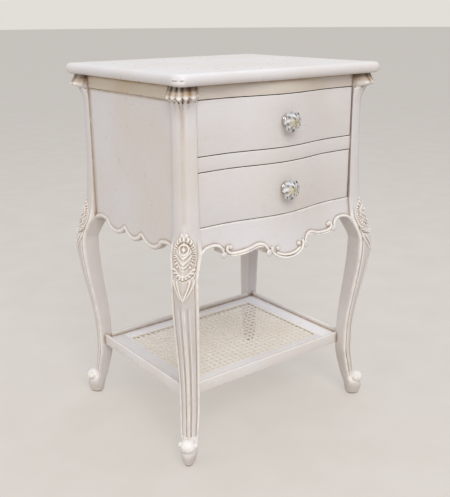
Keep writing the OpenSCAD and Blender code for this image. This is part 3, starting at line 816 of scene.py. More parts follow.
@dataclass
class Workshop:
    """Makes the materials and turns meshes into finished pieces of the frame."""

    sizes: CaseSizes
    groups: dict[type[EffectGroup], EffectGroup] = field(default_factory=dict)
    materials: dict[str, bpy.types.Material] = field(default_factory=dict)

    def material(self, finish: str) -> bpy.types.Material:
        """Give the material of a finish, made at its first use.

        Args:
            finish: The finish's name.

        Returns:
            The material.
        """
        if finish not in self.materials:
            self.materials[finish] = FINISHES[finish].made(self.groups)
        return self.materials[finish]

    def piece(self, name: str, bm: bmesh.types.BMesh, finish: str, slot: Slot, body: Body,
              nodes: Iterable[str], crease: float = 40.0) -> bpy.types.Object:
        """Turn a mesh in case millimetres into a finished piece.

        Args:
            name: The piece's name.
            bm: Its mesh, which is freed.
            finish: The name of its finish.
            slot: The record's slot for it; not used.
            body: The body that it rides on.
            nodes: The nodes that it stands for.
            crease: Angle in degrees past which an edge is shaded sharp.

        Returns:
            The piece's object.
        """
        bmesh.ops.remove_doubles(bm, verts=bm.verts, dist=FINE_WELD)
        bmesh.ops.recalc_face_normals(bm, faces=bm.faces)
        bmesh.ops.transform(bm, matrix=self.sizes.to_frame, verts=bm.verts)
        mesh = bpy.data.meshes.new(name)
        bm.to_mesh(mesh)
        bm.free()
        mesh.shade_smooth()
        mesh.set_sharp_from_angle(angle=math.radians(crease))
        made = bpy.data.objects.new(name, mesh)
        bpy.context.scene.collection.objects.link(made)
        mesh.materials.append(self.material(finish))
        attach(made, body.value)
        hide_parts(*nodes)
        triangles = sum(len(face.vertices) - 2 for face in mesh.polygons)
        LOG.info("%s: %d triangles, on %s", name, triangles, body.value)
        return made

    def carry_over(self, node: str, finish: str) -> None:
        """Give a node that keeps its own shape its finish.

        Args:
            node: The node's name.
            finish: The name of its finish.
        """
        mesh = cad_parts[node].data
        mesh.materials.clear()
        mesh.materials.append(self.material(finish))
        LOG.info("%s: carried over, in %s", node, finish)


# Sub-assemblies


@dataclass
class Assembly:
    """A group of pieces that are made together."""

    shop: Workshop
    case: Case

    def box(self, node: str) -> tuple[Vector, Vector]:
        """Give a node's low and high corner in case millimetres."""
        return self.shop.sizes.node_box(node)

    def build(self) -> None:
        """Make every piece of the assembly."""
        raise NotImplementedError

    def board(self, node: str, finish: str, slot: Slot, body: Body, ease_by: float = 0.8,
              line_below: float = 0.0) -> None:
        """Make a board with eased edges in the place of a plain node.

        Args:
            node: The node that the board stands for.
            finish: The name of its finish.
            slot: The record's slot for it.
            body: The body that it rides on.
            ease_by: Width of its rounded edges.
            line_below: How dark a painted shadow line along its lower edge is.
        """
        bm = bmesh.new()
        low, high = self.box(node)
        add_box(bm, low, high)
        soften(bm, ease_by)
        # Painted shadow: a dark line along the lower edge.
        if line_below:
            chip = bm.verts.layers.float.new("chip")
            for vert in bm.verts:
                vert[chip] = line_below if vert.co.z < low.z + 0.6 * ease_by else 0.0
        self.shop.piece(f"{node}_wood", bm, finish, slot, body, [node])


@dataclass
class TopBoard(Assembly):
    """The top, with a half-round edge, four ears and a slight serpentine front."""

    ear_out: float = 5.0
    ear_r: float = 20.0
    hollow: float = 2.5
    bow: float = 4.5
    neck: float = 40.0
    flat_in: float = 4.0
    ear_steps: int = 18
    line_steps: int = 60
    edge_steps: int = 22
    worn_turns: tuple[float, float] = (180.0, 246.0)
    worn_in: float = 3.0
    # Where each knock starts and ends round the front left ear, in degrees.
    knock_turns: tuple[tuple[float, float], ...] = ((184.0, 213.0), (229.0, 243.0))
    knock_half: float = 1.2
    bright_below: float = 3.4
    bright_half: float = 2.4

    def plan(self) -> list[Vector]:
        """Draw the outline seen from above.

        Returns:
            Its points, anticlockwise from the front left ear.
        """
        high = self.box("top")[1]
        ear_x = high.x - self.ear_r
        ear_y = high.y - self.ear_r
        side_x = high.x - self.ear_out

        def run(d: float, end: float) -> float:
            """How far the line at d has swung out to the ear at its end."""
            return ramp(d, end - self.neck, self.neck)

        def front(x: float) -> float:
            """The serpentine front line at x."""
            return -high.y + self.hollow * (1 - run(abs(x), ear_x)) - self.bow * self.case.swell(x)

        def ear(side: int, end: int, start: float) -> list[Vector]:
            """The quarter round of one ear, from its starting angle."""
            middle = Vector((side * ear_x, end * ear_y, 0))
            turns = [math.radians(start + 90 * i / self.ear_steps) for i in range(self.ear_steps + 1)]
            return [middle + self.ear_r * Vector((math.cos(a), math.sin(a), 0)) for a in turns]

        steps = self.line_steps
        across = [-ear_x + 2 * ear_x * i / (2 * steps) for i in range(1, 2 * steps)]
        deep = [-ear_y + 2 * ear_y * i / steps for i in range(1, steps)]
        right = [Vector((side_x + self.ear_out * run(abs(y), ear_y), y, 0)) for y in deep]
        left = [Vector((-p.x, p.y, 0)) for p in reversed(right)]
        return [*ear(-1, -1, 180), *(Vector((x, front(x), 0)) for x in across), *ear(1, -1, 270),
                *right, *ear(1, 1, 0), *ear(-1, 1, 90), *left]

    def build(self) -> None:
        """Wrap the half round along the outline and close it with two flats."""
        low, high = self.box("top")
        radius = (high.z - low.z) / 2
        plan = self.plan()
        count = len(plan)
        inward = []
        for k in range(count):
            run = (plan[(k + 1) % count] - plan[k - 1]).normalized()
            inward.append(Vector((-run.y, run.x, 0)))
        angles = [math.pi * i / self.edge_steps - HALF_PI for i in range(self.edge_steps + 1)]
        stops = [(radius + self.flat_in, -radius),
                 *((radius * (1 - math.cos(a)), radius * math.sin(a)) for a in angles),
                 (radius + self.flat_in, radius)]

        def place(u: float, v: float) -> Vector:
            """Place a point at u round the outline and v across the edge."""
            k = round(u * count) % count
            drawn, rise = stops[round(v * (len(stops) - 1))]
            return plan[k] + inward[k] * drawn + Vector((0, 0, low.z + radius + rise))

        bm = bmesh.new()
        lay_grid(bm, count, len(stops) - 1, place)
        cap_holes(bm)
        self.mark_chips(bm)
        self.shop.piece("painted_top", bm, "paint_x", Slot.PAINT, Body.CASE, ["top"])

    def mark_chips(self, bm: bmesh.types.BMesh) -> None:
        """Mark the two knocks on the front left ear, and the bright line under them.

        Args:
            bm: The top's mesh.
        """
        low, high = self.box("top")
        chip = bm.verts.layers.float.new("chip")
        rub = bm.verts.layers.float.new("rub")
        ear = Vector((low.x + self.ear_r, -high.y + self.ear_r, 0))
        middle = (low.z + high.z) / 2
        first, last = self.worn_turns
        for vert in bm.verts:
            out = vert.co - ear
            turn = math.degrees(math.atan2(out.y, out.x)) % 360
            if not first < turn < last or out.xy.length < self.ear_r - self.worn_in:
                continue
            up = vert.co.z - middle
            knocked = any(start < turn < end for start, end in self.knock_turns)
            vert[chip] = 0.85 if knocked and abs(up) < self.knock_half else 0.0
            vert[rub] = 0.9 if abs(up + self.bright_below) < self.bright_half else 0.0


@dataclass(frozen=True)
class Cartouche:
    """The knee's carving, as its height over the corner's own surface."""

    oval: tuple[float, float] = (18.0, 31.0)
    oval_down: float = 2.0
    rays: int = 26
    ray_rise: float = 3.0
    rim_rise: float = 0.9
    field_rise: float = 2.2
    groove_depth: float = 1.8
    drop: tuple[float, float] = (8.0, 9.5)
    drop_up: float = 8.0
    drop_rise: float = 1.6
    drop_depth: float = 1.5
    pearl_r: float = 4.8
    pearl_rise: float = 2.8
    chevron_tips: tuple[float, ...] = (-6.5, -15.5, -24.5)
    chevron_w: float = 3.4
    chevron_rise: float = 2.0
    bud: tuple[float, float] = (4.2, 30.5)
    bud_r: float = 4.2
    bud_rise: float = 2.4
    shell_down: float = 26.0
    shell_r: float = 16.6
    shell_ribs: int = 16
    shell_rise: float = 3.6
    shell_depth: float = 1.9
    # Each leaf's distance across at its top and at its foot, and its half width.
    leaves: Table = ((17.5, 3.4, 3.2), (11.0, 0.6, 2.4))
    leaf_down: float = 41.0
    leaf_run: float = 38.0
    leaf_rise: float = 2.6

    def height(self, up: float, t: float) -> float:
        """Add up the height of the whole carving at a point.

        Args:
            up: How far up the point lies from the carving's middle.
            t: How far across the corner it lies.

        Returns:
            The height in millimetres.
        """
        oval = math.hypot(t / self.oval[0], (up + self.oval_down) / self.oval[1])
        height = self.field(up, t, oval) if oval < 1.06 else 0.0
        inner = up - self.drop_up
        drop = math.hypot(t / self.drop[0], inner / self.drop[1])
        height += self.drop_rise * hump((drop - 0.88) / 0.22)
        height -= self.drop_depth * hump((drop - 0.5) / 0.28) if drop < 0.88 else 0.0
        height += self.pearl_rise * hump(math.hypot(t, inner) / self.pearl_r)
        for tip in self.chevron_tips:
            arm = up - tip - abs(t)
            height += self.chevron_rise * hump(arm / self.chevron_w) * ramp(oval, 0.74, -0.1)
        height += self.shell(up, t, oval) + self.tendrils(up, t)
        return height + self.bud_rise * hump(math.hypot(abs(t) - self.bud[0], up - self.bud[1]) / self.bud_r)

    def field(self, up: float, t: float, oval: float) -> float:
        """Height of the oval's field and of the rays on its rim.

        Args:
            up: How far up the point lies from the carving's middle.
            t: How far across the corner it lies.
            oval: How far out it lies in the oval, which ends at 1.

        Returns:
            The height in millimetres.
        """
        rays = 0.5 + 0.5 * math.cos(self.rays * math.atan2(t, up + self.oval_down))
        rim = ramp(oval, 1.06, -0.1) * ramp(oval, 0.62, 0.1) * ramp(up, -27, 7)
        height = rim * (self.rim_rise + self.ray_rise * rays * hump((oval - 0.85) / 0.25))
        height += self.field_rise * ramp(oval, 0.7, -0.1)
        return height - self.groove_depth * hump((oval - 0.7) / 0.07)

    def shell(self, up: float, t: float, oval: float) -> float:
        """Height of the fluted fan round the oval's lower end.

        Args:
            up: How far up the point lies from the carving's middle.
            t: How far across the corner it lies.
            oval: How far out it lies in the oval, which ends at 1.

        Returns:
            The height in millimetres.
        """
        below = up + self.shell_down
        reach = math.hypot(t * 0.95, below * 1.16)
        if below > 4 or reach > 21 or oval < 0.98:
            return 0.0
        ribs = 0.5 + 0.5 * math.cos(self.shell_ribs * math.atan2(t, below))
        solid = self.shell_rise - self.shell_depth * (1 - ribs) * ramp(reach, 8.5, 3)
        solid *= ramp(reach, self.shell_r + 1.1 * ribs, -1.6) * ramp(oval, 0.98, 0.1)
        return solid * ramp(below, 4, -4) - self.groove_depth * hump((reach - 19) / 1.8)

    def tendrils(self, up: float, t: float) -> float:
        """Height of the doubled leaves that run down into the flutes.

        Args:
            up: How far up the point lies from the carving's middle.
            t: How far across the corner it lies.

        Returns:
            The height in millimetres.
        """
        share = (-self.leaf_down - up) / self.leaf_run
        if not -0.08 < share < 1.08:
            return 0.0
        taper = ramp(share, 0, 1 / 6) * ramp(share, 1.06, -0.25)
        height = 0.0
        for start, end, half in self.leaves:
            middle = end + (start - end) * (1 - ease(share)) ** 0.8
            height += self.leaf_rise * taper * hump((abs(t) - middle) / half)
        return height


@dataclass(frozen=True)
class LegMarks:
    """How strongly glaze, rubbing, painted highlight, painted warm light and painted shade show on a leg,
    from 0 to 1.
    """

    stripe: float = 0.2
    stripe_above: float = 0.26
    capital: float = 0.2
    capital_above: float = 0.35
    capital_groove: float = 0.6
    sole: float = 0.35
    tint: float = 0.12
    wiped: float = 0.85
    ridge: float = 0.85
    edge: float = 0.9
    dome: float = 0.95
    tread: float = 0.3
    # The last three give painted shade: beside the drawers and under the top.
    beside_drawers: float = 0.3
    under_top: float = 0.5
    under_top_groove: float = 0.4


@dataclass
class Legs(Assembly):
    """Four cabriole legs, each with its capital, cartouche, flutes and scroll toe."""

    foot_in: float = 9.0
    foot_w: float = 11.0
    toe_in: float = 16.5
    toe_w: float = 22.5
    toe_h: float = 60.0
    dome_out: float = 3.4
    dome_up: float = 39.0
    dome_radii: tuple[float, float, float] = (14.8, 14.8, 12.6)
    # Each bump's place outwards, beside and up, and then its radii.
    toe_bumps: Table = ((3.4, 13.6, 41.5, 5.6, 4.6, 5.6), (2.5, 10.6, 19.0, 2.4, 1.6, 2.4))
    ankle_in: float = 30.0
    ankle_w: float = 25.5
    ankle_reach: float = -8.0
    knee_drop: float = 95.0
    knee_out: float = 16.5
    knee_w: float = 35.0
    carving: Cartouche = Cartouche()
    carving_down: float = 35.0
    carved: tuple[float, float] = (-143.0, 7.0)
    # Each reed's rise, and its middle and half width as shares of the leg's half width.
    reeds: Table = ((0.5, 0.07, 0.07), (-1.9, 0.29, 0.15), (0.5, 0.6, 0.17))
    edge_reeds: Table = ((-1.5, 0.79, 0.07), (1.2, 0.93, 0.1))
    capital_h: float = 24.0
    capital_out: float = 18.0
    lobe_waves: float = 2.5
    lobe_depth: float = 4.4
    lobe_droop: float = 3.6
    around: int = 104
    inside: int = 16
    marks: LegMarks = LegMarks()

    @property
    def knee_z(self) -> float:
        """Height of the knee."""
        return self.case.lower_bottom - self.knee_drop

    @property
    def lobe_z(self) -> float:
        """Height at which the capital's lobes begin."""
        return self.case.case_top - self.capital_h

    @property
    def foot(self) -> Vector:
        """Centre line of the foot, as its distance from the case's middle."""
        out = self.case.post_w + self.case.foot_out
        return Vector((self.case.inner_x + out, self.case.inner_y + out, 0))

    def stations(self) -> list[tuple[float, ...]]:
        """List the leg's stations from the floor to the top.

        Returns:
            For each one its height, its inner and outer face, the reach of its outer corner,
            and how square its outer and its inner corners are.
        """
        post_in = -self.case.foot_out - self.case.post_w
        post_out = -self.case.foot_out
        bottom, lobe = self.case.lower_bottom, self.lobe_z
        low = self.box("shelf_rim_front")[0].z - 4
        high = self.box("shelf_rim_front")[1].z + 4
        toe, toe_in, toe_out = self.toe_h, -self.toe_in, self.toe_w - self.toe_in
        foot_in, foot_out = -self.foot_in, self.foot_w - self.foot_in
        ankle_in, ankle_out = -self.ankle_in, self.ankle_w - self.ankle_in
        knee, knee_in, knee_out = self.knee_z, self.knee_out - self.knee_w, self.knee_out
        tips = post_out + self.capital_out
        return [
            (0, foot_in, foot_out, 10, 1, 1),
            (toe * 0.1, foot_in - 3, foot_out + 2.5, 13, 1, 1.1),
            (toe * 0.34, foot_in - 5, foot_out + 4.5, 16, 1, 1.2),
            (toe * 0.54, toe_in, toe_out, 12, 1.1, 1.3),
            (toe * 0.72, toe_in - 3, toe_out - 4, -1, 1.4, 1.5),
            (toe * 0.87, toe_in - 5, toe_out - 5, -3, 1.5, 1.65),
            (toe, toe_in - 6.5, toe_out - 6, -3.3, 1.5, 1.8),
            (low, ankle_in, ankle_out, self.ankle_reach, 1.7, 1.85),
            (high, ankle_in, ankle_out + 0.5, self.ankle_reach, 1.7, 1.85),
            (knee, knee_in, knee_out - 1.1, knee_out + 4.9, 1.75, 1.88),
            (knee + 7, knee_in, knee_out - 1.6, knee_out + 3.9, 1.75, 1.9),
            (knee + 35, (knee_in + post_in) / 2, knee_out - 7, knee_out - 4.5, 1.7, 1.95),
            (bottom - 38, post_in, post_out + 9, post_out + 9.5, 1.7, 2),
            (bottom, post_in, post_out + 3, post_out - 1, 1.6, 2),
            (self.case.lower_top, post_in, post_out + 0.5, post_out - 7, 1.6, 2),
            (lobe - 31, post_in, post_out, post_out - 8, 1.6, 2),
            (lobe - 1, post_in, post_out + 2.5, post_out + 2, 1.3, 2),
            (lobe + 2, post_in, post_out + 7, post_out + 9, 1.1, 2),
            (lobe + 5.5, post_in, post_out + 9.8, tips, 1.05, 2),
            (lobe + self.capital_h / 2, post_in, post_out + 8, tips - 4, 1.1, 2),
            (self.case.case_top, post_in, post_out + 3.5, tips - 10, 1.2, 2)]

    def levels(self) -> list[float]:
        """List the heights at which the leg is drawn, closer where it is carved.

        Returns:
            The heights, from the floor to the top.
        """
        top = self.case.case_top
        carved_low, carved_high = self.knee_z - 42, self.case.lower_bottom + 6
        spans = [(0.0, self.toe_h, 1.5), (self.toe_h, carved_low, 4.0), (carved_low, carved_high, 0.9),
                 (carved_high, top - 44, 5.0), (top - 44, top, 0.75)]
        heights = []
        for low, high, step in spans:
            count = max(1, round((high - low) / step))
            heights += [low + (high - low) * i / count for i in range(count)]
        return [*heights, top]

    def flutes(self, z: float, q: float) -> float:
        """Height of the reeds, flutes and edge beads across the leg.

        Args:
            z: Height of the point.
            q: How far across the leg it lies, from -1 to 1.

        Returns:
            The height in millimetres.
        """

        def section(rows: Table) -> float:
            """Add up the reeds of one table at q."""
            return sum(rise * hump((abs(q) - middle) / half) for rise, middle, half in rows)

        start = ramp(z, self.toe_h - 20, 12)
        return start * (ramp(z, self.knee_z - 28, -12) * section(self.reeds)
                        + ramp(z, self.case.lower_bottom - 12, -20) * section(self.edge_reeds))

    def lobes(self, z: float, a: float) -> tuple[float, float]:
        """Shape the capital's lobes.

        Args:
            z: Height of the point.
            a: Angle round the section, 0 at the outer corner.

        Returns:
            How far the surface goes in or out there, and how far its height droops.
        """
        across = signed_power(math.sin(a), 1.1)
        valley = 1 - abs(math.cos(self.lobe_waves * math.pi * across)) ** 0.7
        top, lobe = self.case.case_top, self.lobe_z
        fading = 1 - 0.35 * max(0.0, z - lobe) / self.capital_h
        depth = -self.lobe_depth * valley * ramp(z, lobe - 5, 4) * fading
        window = ramp(z, lobe - 20, 10) * ramp(z, top - 2, -10)
        return depth, window * (1.2 * hump(across / 0.34) - self.lobe_droop * valley)

    def point(self, rows: Sequence[Sequence[float]], z: float, a: float) -> Vector:
        """Place a point of the leg, seen from the foot's centre line.

        Args:
            rows: The leg's stations.
            z: Height of the point.
            a: Angle round the section: 0 at the outer corner, a quarter turn at its ends.

        Returns:
            The point, with x and y outwards.
        """
        depth, droop = self.lobes(z, a) if abs(a) <= HALF_PI else (0.0, 0.0)
        at = min(max(z + droop, 0.0), self.case.case_top)
        inner, outer, reach, power, back_power = (through(rows, at, c) for c in range(1, 6))
        mid = (inner + outer) / ROOT2
        half = (outer - inner) / ROOT2
        cos, sin = math.cos(a), math.sin(a)
        if abs(a) > HALF_PI:
            s = mid - (mid - ROOT2 * inner) * abs(cos) ** back_power
            t = half * signed_power(sin, back_power)
            return Vector(((s + t) / ROOT2, (s - t) / ROOT2, z))
        s = mid + (reach - mid) * abs(cos) ** power
        t = half * signed_power(sin, power)
        d = depth + self.flutes(z, t / half)
        up = z - self.case.lower_bottom
        if self.carved[0] < up < self.carved[1]:
            d += self.carving.height(up + self.carving_down, t)
        s += d * cos
        t += d * sin
        return Vector(((s + t) / ROOT2, (s - t) / ROOT2, z))

    def toe(self, bm: bmesh.types.BMesh) -> None:
        """Set the scroll's dome on the foot, and the bumps and eyes on both sides of it.

        Args:
            bm: The leg's mesh, round the foot's centre line.
        """
        quarter = Matrix.Rotation(math.pi / 4, 4, "Z")
        outward = Vector((1, 1, 0)).normalized()
        across = Vector((1, -1, 0)).normalized()
        upward = Vector((0, 0, 1))
        add_ball(bm, outward * self.dome_out + upward * self.dome_up, Vector(self.dome_radii), quarter, 40)
        for side in (-1, 1):
            for out, beside, up, *radii in self.toe_bumps:
                add_ball(bm, outward * out + across * side * beside + upward * up, Vector(radii), quarter)

    def stain(self, bm: bmesh.types.BMesh, rows: Sequence[Sequence[float]]) -> None:
        """Mark where glaze is left, where the paint is whitened as wear and painted highlight, and where
        painted shade falls beside the drawers and under the top.

        Args:
            bm: The carved leg, in its place at the case's right back corner.
            rows: The leg's stations.
        """
        glaze = bm.verts.layers.float["glaze"]
        rub = bm.verts.layers.float["rub"]
        chip = bm.verts.layers.float.new("chip")
        case, foot, lobe, marks = self.case, self.foot, self.lobe_z, self.marks
        bottom = case.lower_bottom
        end_y = foot.y - case.foot_out
        for vert in bm.verts:
            z = vert.co.z
            off = vert.co - foot
            s, t = (off.x + off.y) / ROOT2, (off.x - off.y) / ROOT2
            inner, outer = through(rows, z, 1), through(rows, z, 2)
            half = (outer - inner) / ROOT2
            front = ramp(s, (inner + outer) / ROOT2 - 4, 3)
            post = ramp(z, bottom + 6, 12) * ramp(z, lobe - 2, -4)
            stripe = (marks.stripe + marks.stripe_above * ramp(z, lobe - 79, 60)) * hump(t / 6) * post
            groove = 1 - abs(math.cos(self.lobe_waves * math.pi * min(1.0, max(-1.0, t / half))))
            # Glaze on the capital, stronger towards the top, where it is also painted shade under the top.
            capital = marks.capital + marks.capital_above * ramp(z, lobe + 7, 6)
            capital = min(1.0, capital + marks.capital_groove * groove) * ramp(z, lobe + 2, 4)
            sole = marks.sole * ramp(z, 30, -12) * ramp(z, 4, 6)
            # A faint glaze colour over the lower legs, as painted warm light bounced from below.
            tint = marks.tint * ramp(z, bottom - 20, -40) * ramp(z, 180, 60)
            vert[glaze] = max(vert[glaze], stripe * front, capital, sole, tint)
            # Whitening: painted highlight on the capital's ridges, the leg's edges and the toe's dome, kept
            # rubbed wear and highlight from the carving, and the foot near the floor lightened as painted
            # light.
            kept_wear_and_highlight = vert[rub] * (1 - max(marks.wiped * capital, sole, marks.wiped * post))
            ridge = marks.ridge * (1 - groove) ** 2 * ramp(z, lobe + 1, 3) * ramp(z, lobe + 12, -6)
            edge = marks.edge * hump((abs(t) / half - 0.95) / 0.14)
            edge *= ramp(z, self.toe_h - 10, 12) * ramp(z, bottom - 14, -20)
            dome = marks.dome * ramp(z, 26, 6) * ramp(z, 54, -3)
            vert[rub] = max(kept_wear_and_highlight, edge * front, dome * front, ridge * front, marks.tread * ramp(z, 30, -6))
            # Painted shade: the leg's faces beside the drawers, and a near-black line under the top.
            beside = vert.co.x < case.inner_x + 0.5 and vert.co.y > end_y - 3
            if beside and bottom < z < case.upper_top:
                vert[chip] = marks.beside_drawers
            else:
                dark = marks.under_top + marks.under_top_groove * groove
                vert[chip] = dark * ramp(z, case.case_top - 10.5, 5)

    def build(self) -> None:
        """Carve one leg, and mirror it to the four corners."""
        rows = self.stations()
        heights = self.levels()
        round_steps = self.around + self.inside

        def place(u: float, v: float) -> Vector:
            """Place a point at u round the leg, outer corner first, and v up it."""
            k = round(u * round_steps)
            if k <= self.around:
                a = math.pi * k / self.around - HALF_PI
            else:
                a = HALF_PI + math.pi * (k - self.around) / self.inside
                a = a - math.tau if a > math.pi else a
            return self.point(rows, heights[round(v * (len(heights) - 1))], a)

        bm = bmesh.new()
        lay_grid(bm, round_steps, len(heights) - 1, place)
        cap_holes(bm)
        self.toe(bm)
        bmesh.ops.translate(bm, vec=self.foot, verts=bm.verts)
        bmesh.ops.recalc_face_normals(bm, faces=bm.faces)
        shade_hollows(bm, 5.0, 2.6)
        self.stain(bm, rows)
        for side in Side:
            for end, word in ((-1, "front"), (1, "back")):
                copy = bm.copy()
                bmesh.ops.scale(copy, vec=(side.value, end, 1), verts=copy.verts)
                name = f"leg_{word}_{side.word}"
                self.shop.piece(f"carved_{name}", copy, "paint_z", Slot.PAINT, Body.CASE, [name])
        bm.free()


@dataclass
class BowedWork(Assembly):
    """Work with the table's serpentine front."""

    edge_round: float = 1.1
    bow_columns: int = 90
    # The painted shade at a drawer front's ends: its width, its depth back from the front, and its darkness.
    end_w: float = 0.95
    end_deep: float = 3.0
    end_dark: float = 0.9

    def serpentine(self, name: str, node: str, half: float, z0: float, z1: float, back: float,
                   body: Body, finish: str = "paint_x") -> None:
        """Make a board with the serpentine front and a flat back.

        Args:
            name: The piece's name.
            node: The node that it stands for.
            half: Half its length.
            z0: Height of its lower edge.
            z1: Height of its upper edge.
            back: Where its back lies in y.
            body: The body that it rides on. A drawer's front has painted shade along its ends.
            finish: The name of its finish.
        """
        bm = bmesh.new()
        verts = bmesh.ops.create_grid(bm, x_segments=self.bow_columns, y_segments=1, size=0.5)["verts"]
        for vert in verts:
            x = 2 * half * vert.co.x
            vert.co = Vector((x, self.case.front_line(x), z0 + (z1 - z0) * (vert.co.y + 0.5)))
        pulled = bmesh.ops.extrude_face_region(bm, geom=list(bm.faces), use_keep_orig=True)["geom"]
        for vert in pulled:
            if isinstance(vert, bmesh.types.BMVert):
                vert.co.y = back
        soften(bm, self.edge_round)
        # Painted shade along the drawer front's ends, in the gaps beside the legs.
        if body is not Body.CASE:
            chip = bm.verts.layers.float.new("chip")
            for vert in bm.verts:
                at_end = abs(vert.co.x) > half - self.end_w
                in_front = vert.co.y < self.case.front_y + self.end_deep
                vert[chip] = self.end_dark if at_end and in_front else 0.0
        self.shop.piece(name, bm, finish, Slot.PAINT, body, [node])


@dataclass(frozen=True)
class Roll:
    """A rolled bead on one half of the apron, through points given as x and z."""

    half: float
    rise: float
    points: tuple[tuple[float, float], ...]
    rounding: float = 0.06
    thinning: float = 0.35

    @property
    def ends_short(self) -> bool:
        """Whether the bead ends before the apron's middle, where it would meet its twin."""
        return self.points[-1][0] > 1

    def share(self, v: float) -> float:
        """Give how much of its full size the bead has, with its free ends rounded off.

        Args:
            v: Share of the bead's length.

        Returns:
            The share of its size.
        """
        start = min(1.0, v / self.rounding)
        if not self.ends_short:
            return math.sqrt(max(0.0, start))
        end = min(1.0, (1 - v) / self.rounding)
        return math.sqrt(max(0.0, start * end)) * (1 - self.thinning * ramp(v, 0.8, 0.2))


@dataclass
class Front(BowedWork):
    """The front rails and the carved apron."""

    flare: float = 11.0
    run_drop: float = 54.0
    arch_mid: float = 158.0
    arch_half: float = 30.0
    arch_drop: float = 34.0
    arch_rise: float = 20.0
    # The middle, radius and drop of each lobe that hangs from the board.
    lobes: Table = ((135.0, 5.0, 53.5), (44.4, 5.5, 64.5))
    middle_half: float = 38.0
    middle_drop: float = 78.0
    middle_depth: float = 14.0
    wave_mid: float = 108.0
    wave_half: float = 48.0
    wave_drop: float = 53.0
    wave_depth: float = 4.0
    columns: int = 364
    rows: int = 26
    turn_rows: int = 3
    rolls: tuple[Roll, ...] = (
        Roll(2.9, 3.6, ((187, 391), (182.5, 399), (172, 405.5), (157, 407.7), (145, 405.5), (137.5, 399),
                        (135, 391))),
        Roll(2.9, 3.6, ((121.5, 402), (125.8, 400), (127.6, 395), (124.5, 390.3), (117, 388),
                        (108.5, 387.4), (94, 388.3), (80, 391), (69, 394.6), (60.5, 395.6), (52, 392.5),
                        (47.5, 387), (45, 381))),
        Roll(2.6, 3.6, ((37.5, 387.5), (38, 381), (35, 375), (28, 369.5), (18, 365.3), (8, 363),
                        (0, 362.5))),
        Roll(1.8, 2.6, ((123, 384.6), (116, 383.6), (108, 383.2), (94, 384), (80, 386.7), (69, 390),
                        (60, 391.2), (54, 389))),
        Roll(2.2, 2.8, ((29, 375.5), (22, 372), (12, 369), (0, 368))))
    roll_out: float = 0.6
    # Each ball's x and z, and its radii along them.
    balls: Table = ((119.8, 398.3, 4.6, 4.4), (25.5, 382.5, 4.0, 4.0), (134.6, 387.4, 6.4, 5.8),
                    (44.4, 377.0, 6.4, 7.0))
    ball_out: float = 0.8
    ball_rise: float = 3.8

    def rails(self) -> None:
        """Make the rail over the upper drawer and the rail between the drawers."""
        # The rail under the top takes the paint darkened as painted shade.
        for node, finish in (("front_top_rail", "paint_front_rail"), ("divider_rail", "paint_x")):
            low, high = self.box(node)
            self.serpentine(f"painted_{node}", node, high.x, low.z, high.z, high.y, Body.CASE, finish)

    def face(self, x: float, drop: float) -> float:
        """Surface of the apron at x, at a drop below the drawer."""
        return self.case.front_line(x) - self.flare * (max(0.0, drop) / self.run_drop) ** 1.2

    def drop(self, x: float) -> float:
        """Drop of the apron's board at x, behind its carved edge.

        Args:
            x: Distance from the table's middle.

        Returns:
            The drop below the lower drawer's opening.
        """
        u = abs(x)
        if u > self.arch_mid - self.arch_half + 3:
            rise = min(abs(u - self.arch_mid), self.arch_half)
            return self.arch_drop - 3 + arc_fall(rise, arc_radius(self.arch_half, self.arch_rise / 2))
        drops = [low - arc_fall(u - middle, radius)
                 for middle, radius, low in self.lobes if abs(u - middle) < radius]
        if u < self.middle_half:
            drops.append(self.middle_drop - arc_fall(u, arc_radius(self.middle_half, self.middle_depth)))
        if u > self.middle_half - 2:
            wave = math.cos(math.pi * (u - self.wave_mid) / self.wave_half)
            drops.append(self.wave_drop + self.wave_depth * wave)
        return max(drops)

    def apron(self) -> None:
        """Make the apron's board, then lay its beads, balls and lobes on it."""
        case = self.case
        back = case.rail_back_y
        rows, turn = self.rows, self.turn_rows
        last = rows + 2 * turn + 1

        def place(u: float, v: float) -> Vector:
            """Place a point of the section, which runs down the face, back and up again."""
            x = case.inner_x * (2 * u - 1)
            drop = self.drop(x)
            k = round(v * last)
            if k <= rows:
                down = drop * k / rows
                inset = 0.0 if k else self.edge_round
                return Vector((x, self.face(x, down) + inset, case.lower_bottom - down))
            if k <= rows + turn:
                share = (k - rows) / turn
                y = self.face(x, drop) * (1 - share) + back * share
                return Vector((x, y, case.lower_bottom - drop))
            if k < last:
                share = (k - rows - turn) / turn
                return Vector((x, back, case.lower_bottom - drop * (1 - share)))
            return Vector((x, self.face(x, 0) + self.edge_round, case.lower_bottom))

        bm = bmesh.new()
        lay_grid(bm, self.columns, last, place)
        bmesh.ops.remove_doubles(bm, verts=bm.verts, dist=WELD)
        cap_holes(bm)
        for side in (-1, 1):
            self.beads(bm, side)
        bmesh.ops.recalc_face_normals(bm, faces=bm.faces)
        shade_hollows(bm, 6.0, 2.2)
        self.shop.piece("carved_front_apron", bm, "paint_x", Slot.PAINT, Body.CASE, ["front_apron"])

    def on_face(self, side: int, x: float, z: float, out: float = 0.0) -> Vector:
        """Place a point of the carving on the apron's face."""
        return Vector((side * x, self.face(x, self.case.lower_bottom - z) - out, z))

    def beads(self, bm: bmesh.types.BMesh, side: int) -> None:
        """Lay one half of the carving.

        Args:
            bm: The apron's mesh.
            side: -1 for the left half, 1 for the right one.
        """
        out = Vector((0, -1, 0))
        for roll in self.rolls:
            path = [self.on_face(side, x, z, self.roll_out) for x, z in smooth_path(roll.points, 9)]
            add_tube(bm, path, out, roll.half, roll.rise, roll.share, 12)
        for x, z, rx, rz in self.balls:
            add_ball(bm, self.on_face(side, x, z, self.ball_out), Vector((rx, self.ball_rise, rz)),
                     segments=24)

    def build(self) -> None:
        """Make the rails and the apron."""
        self.rails()
        self.apron()


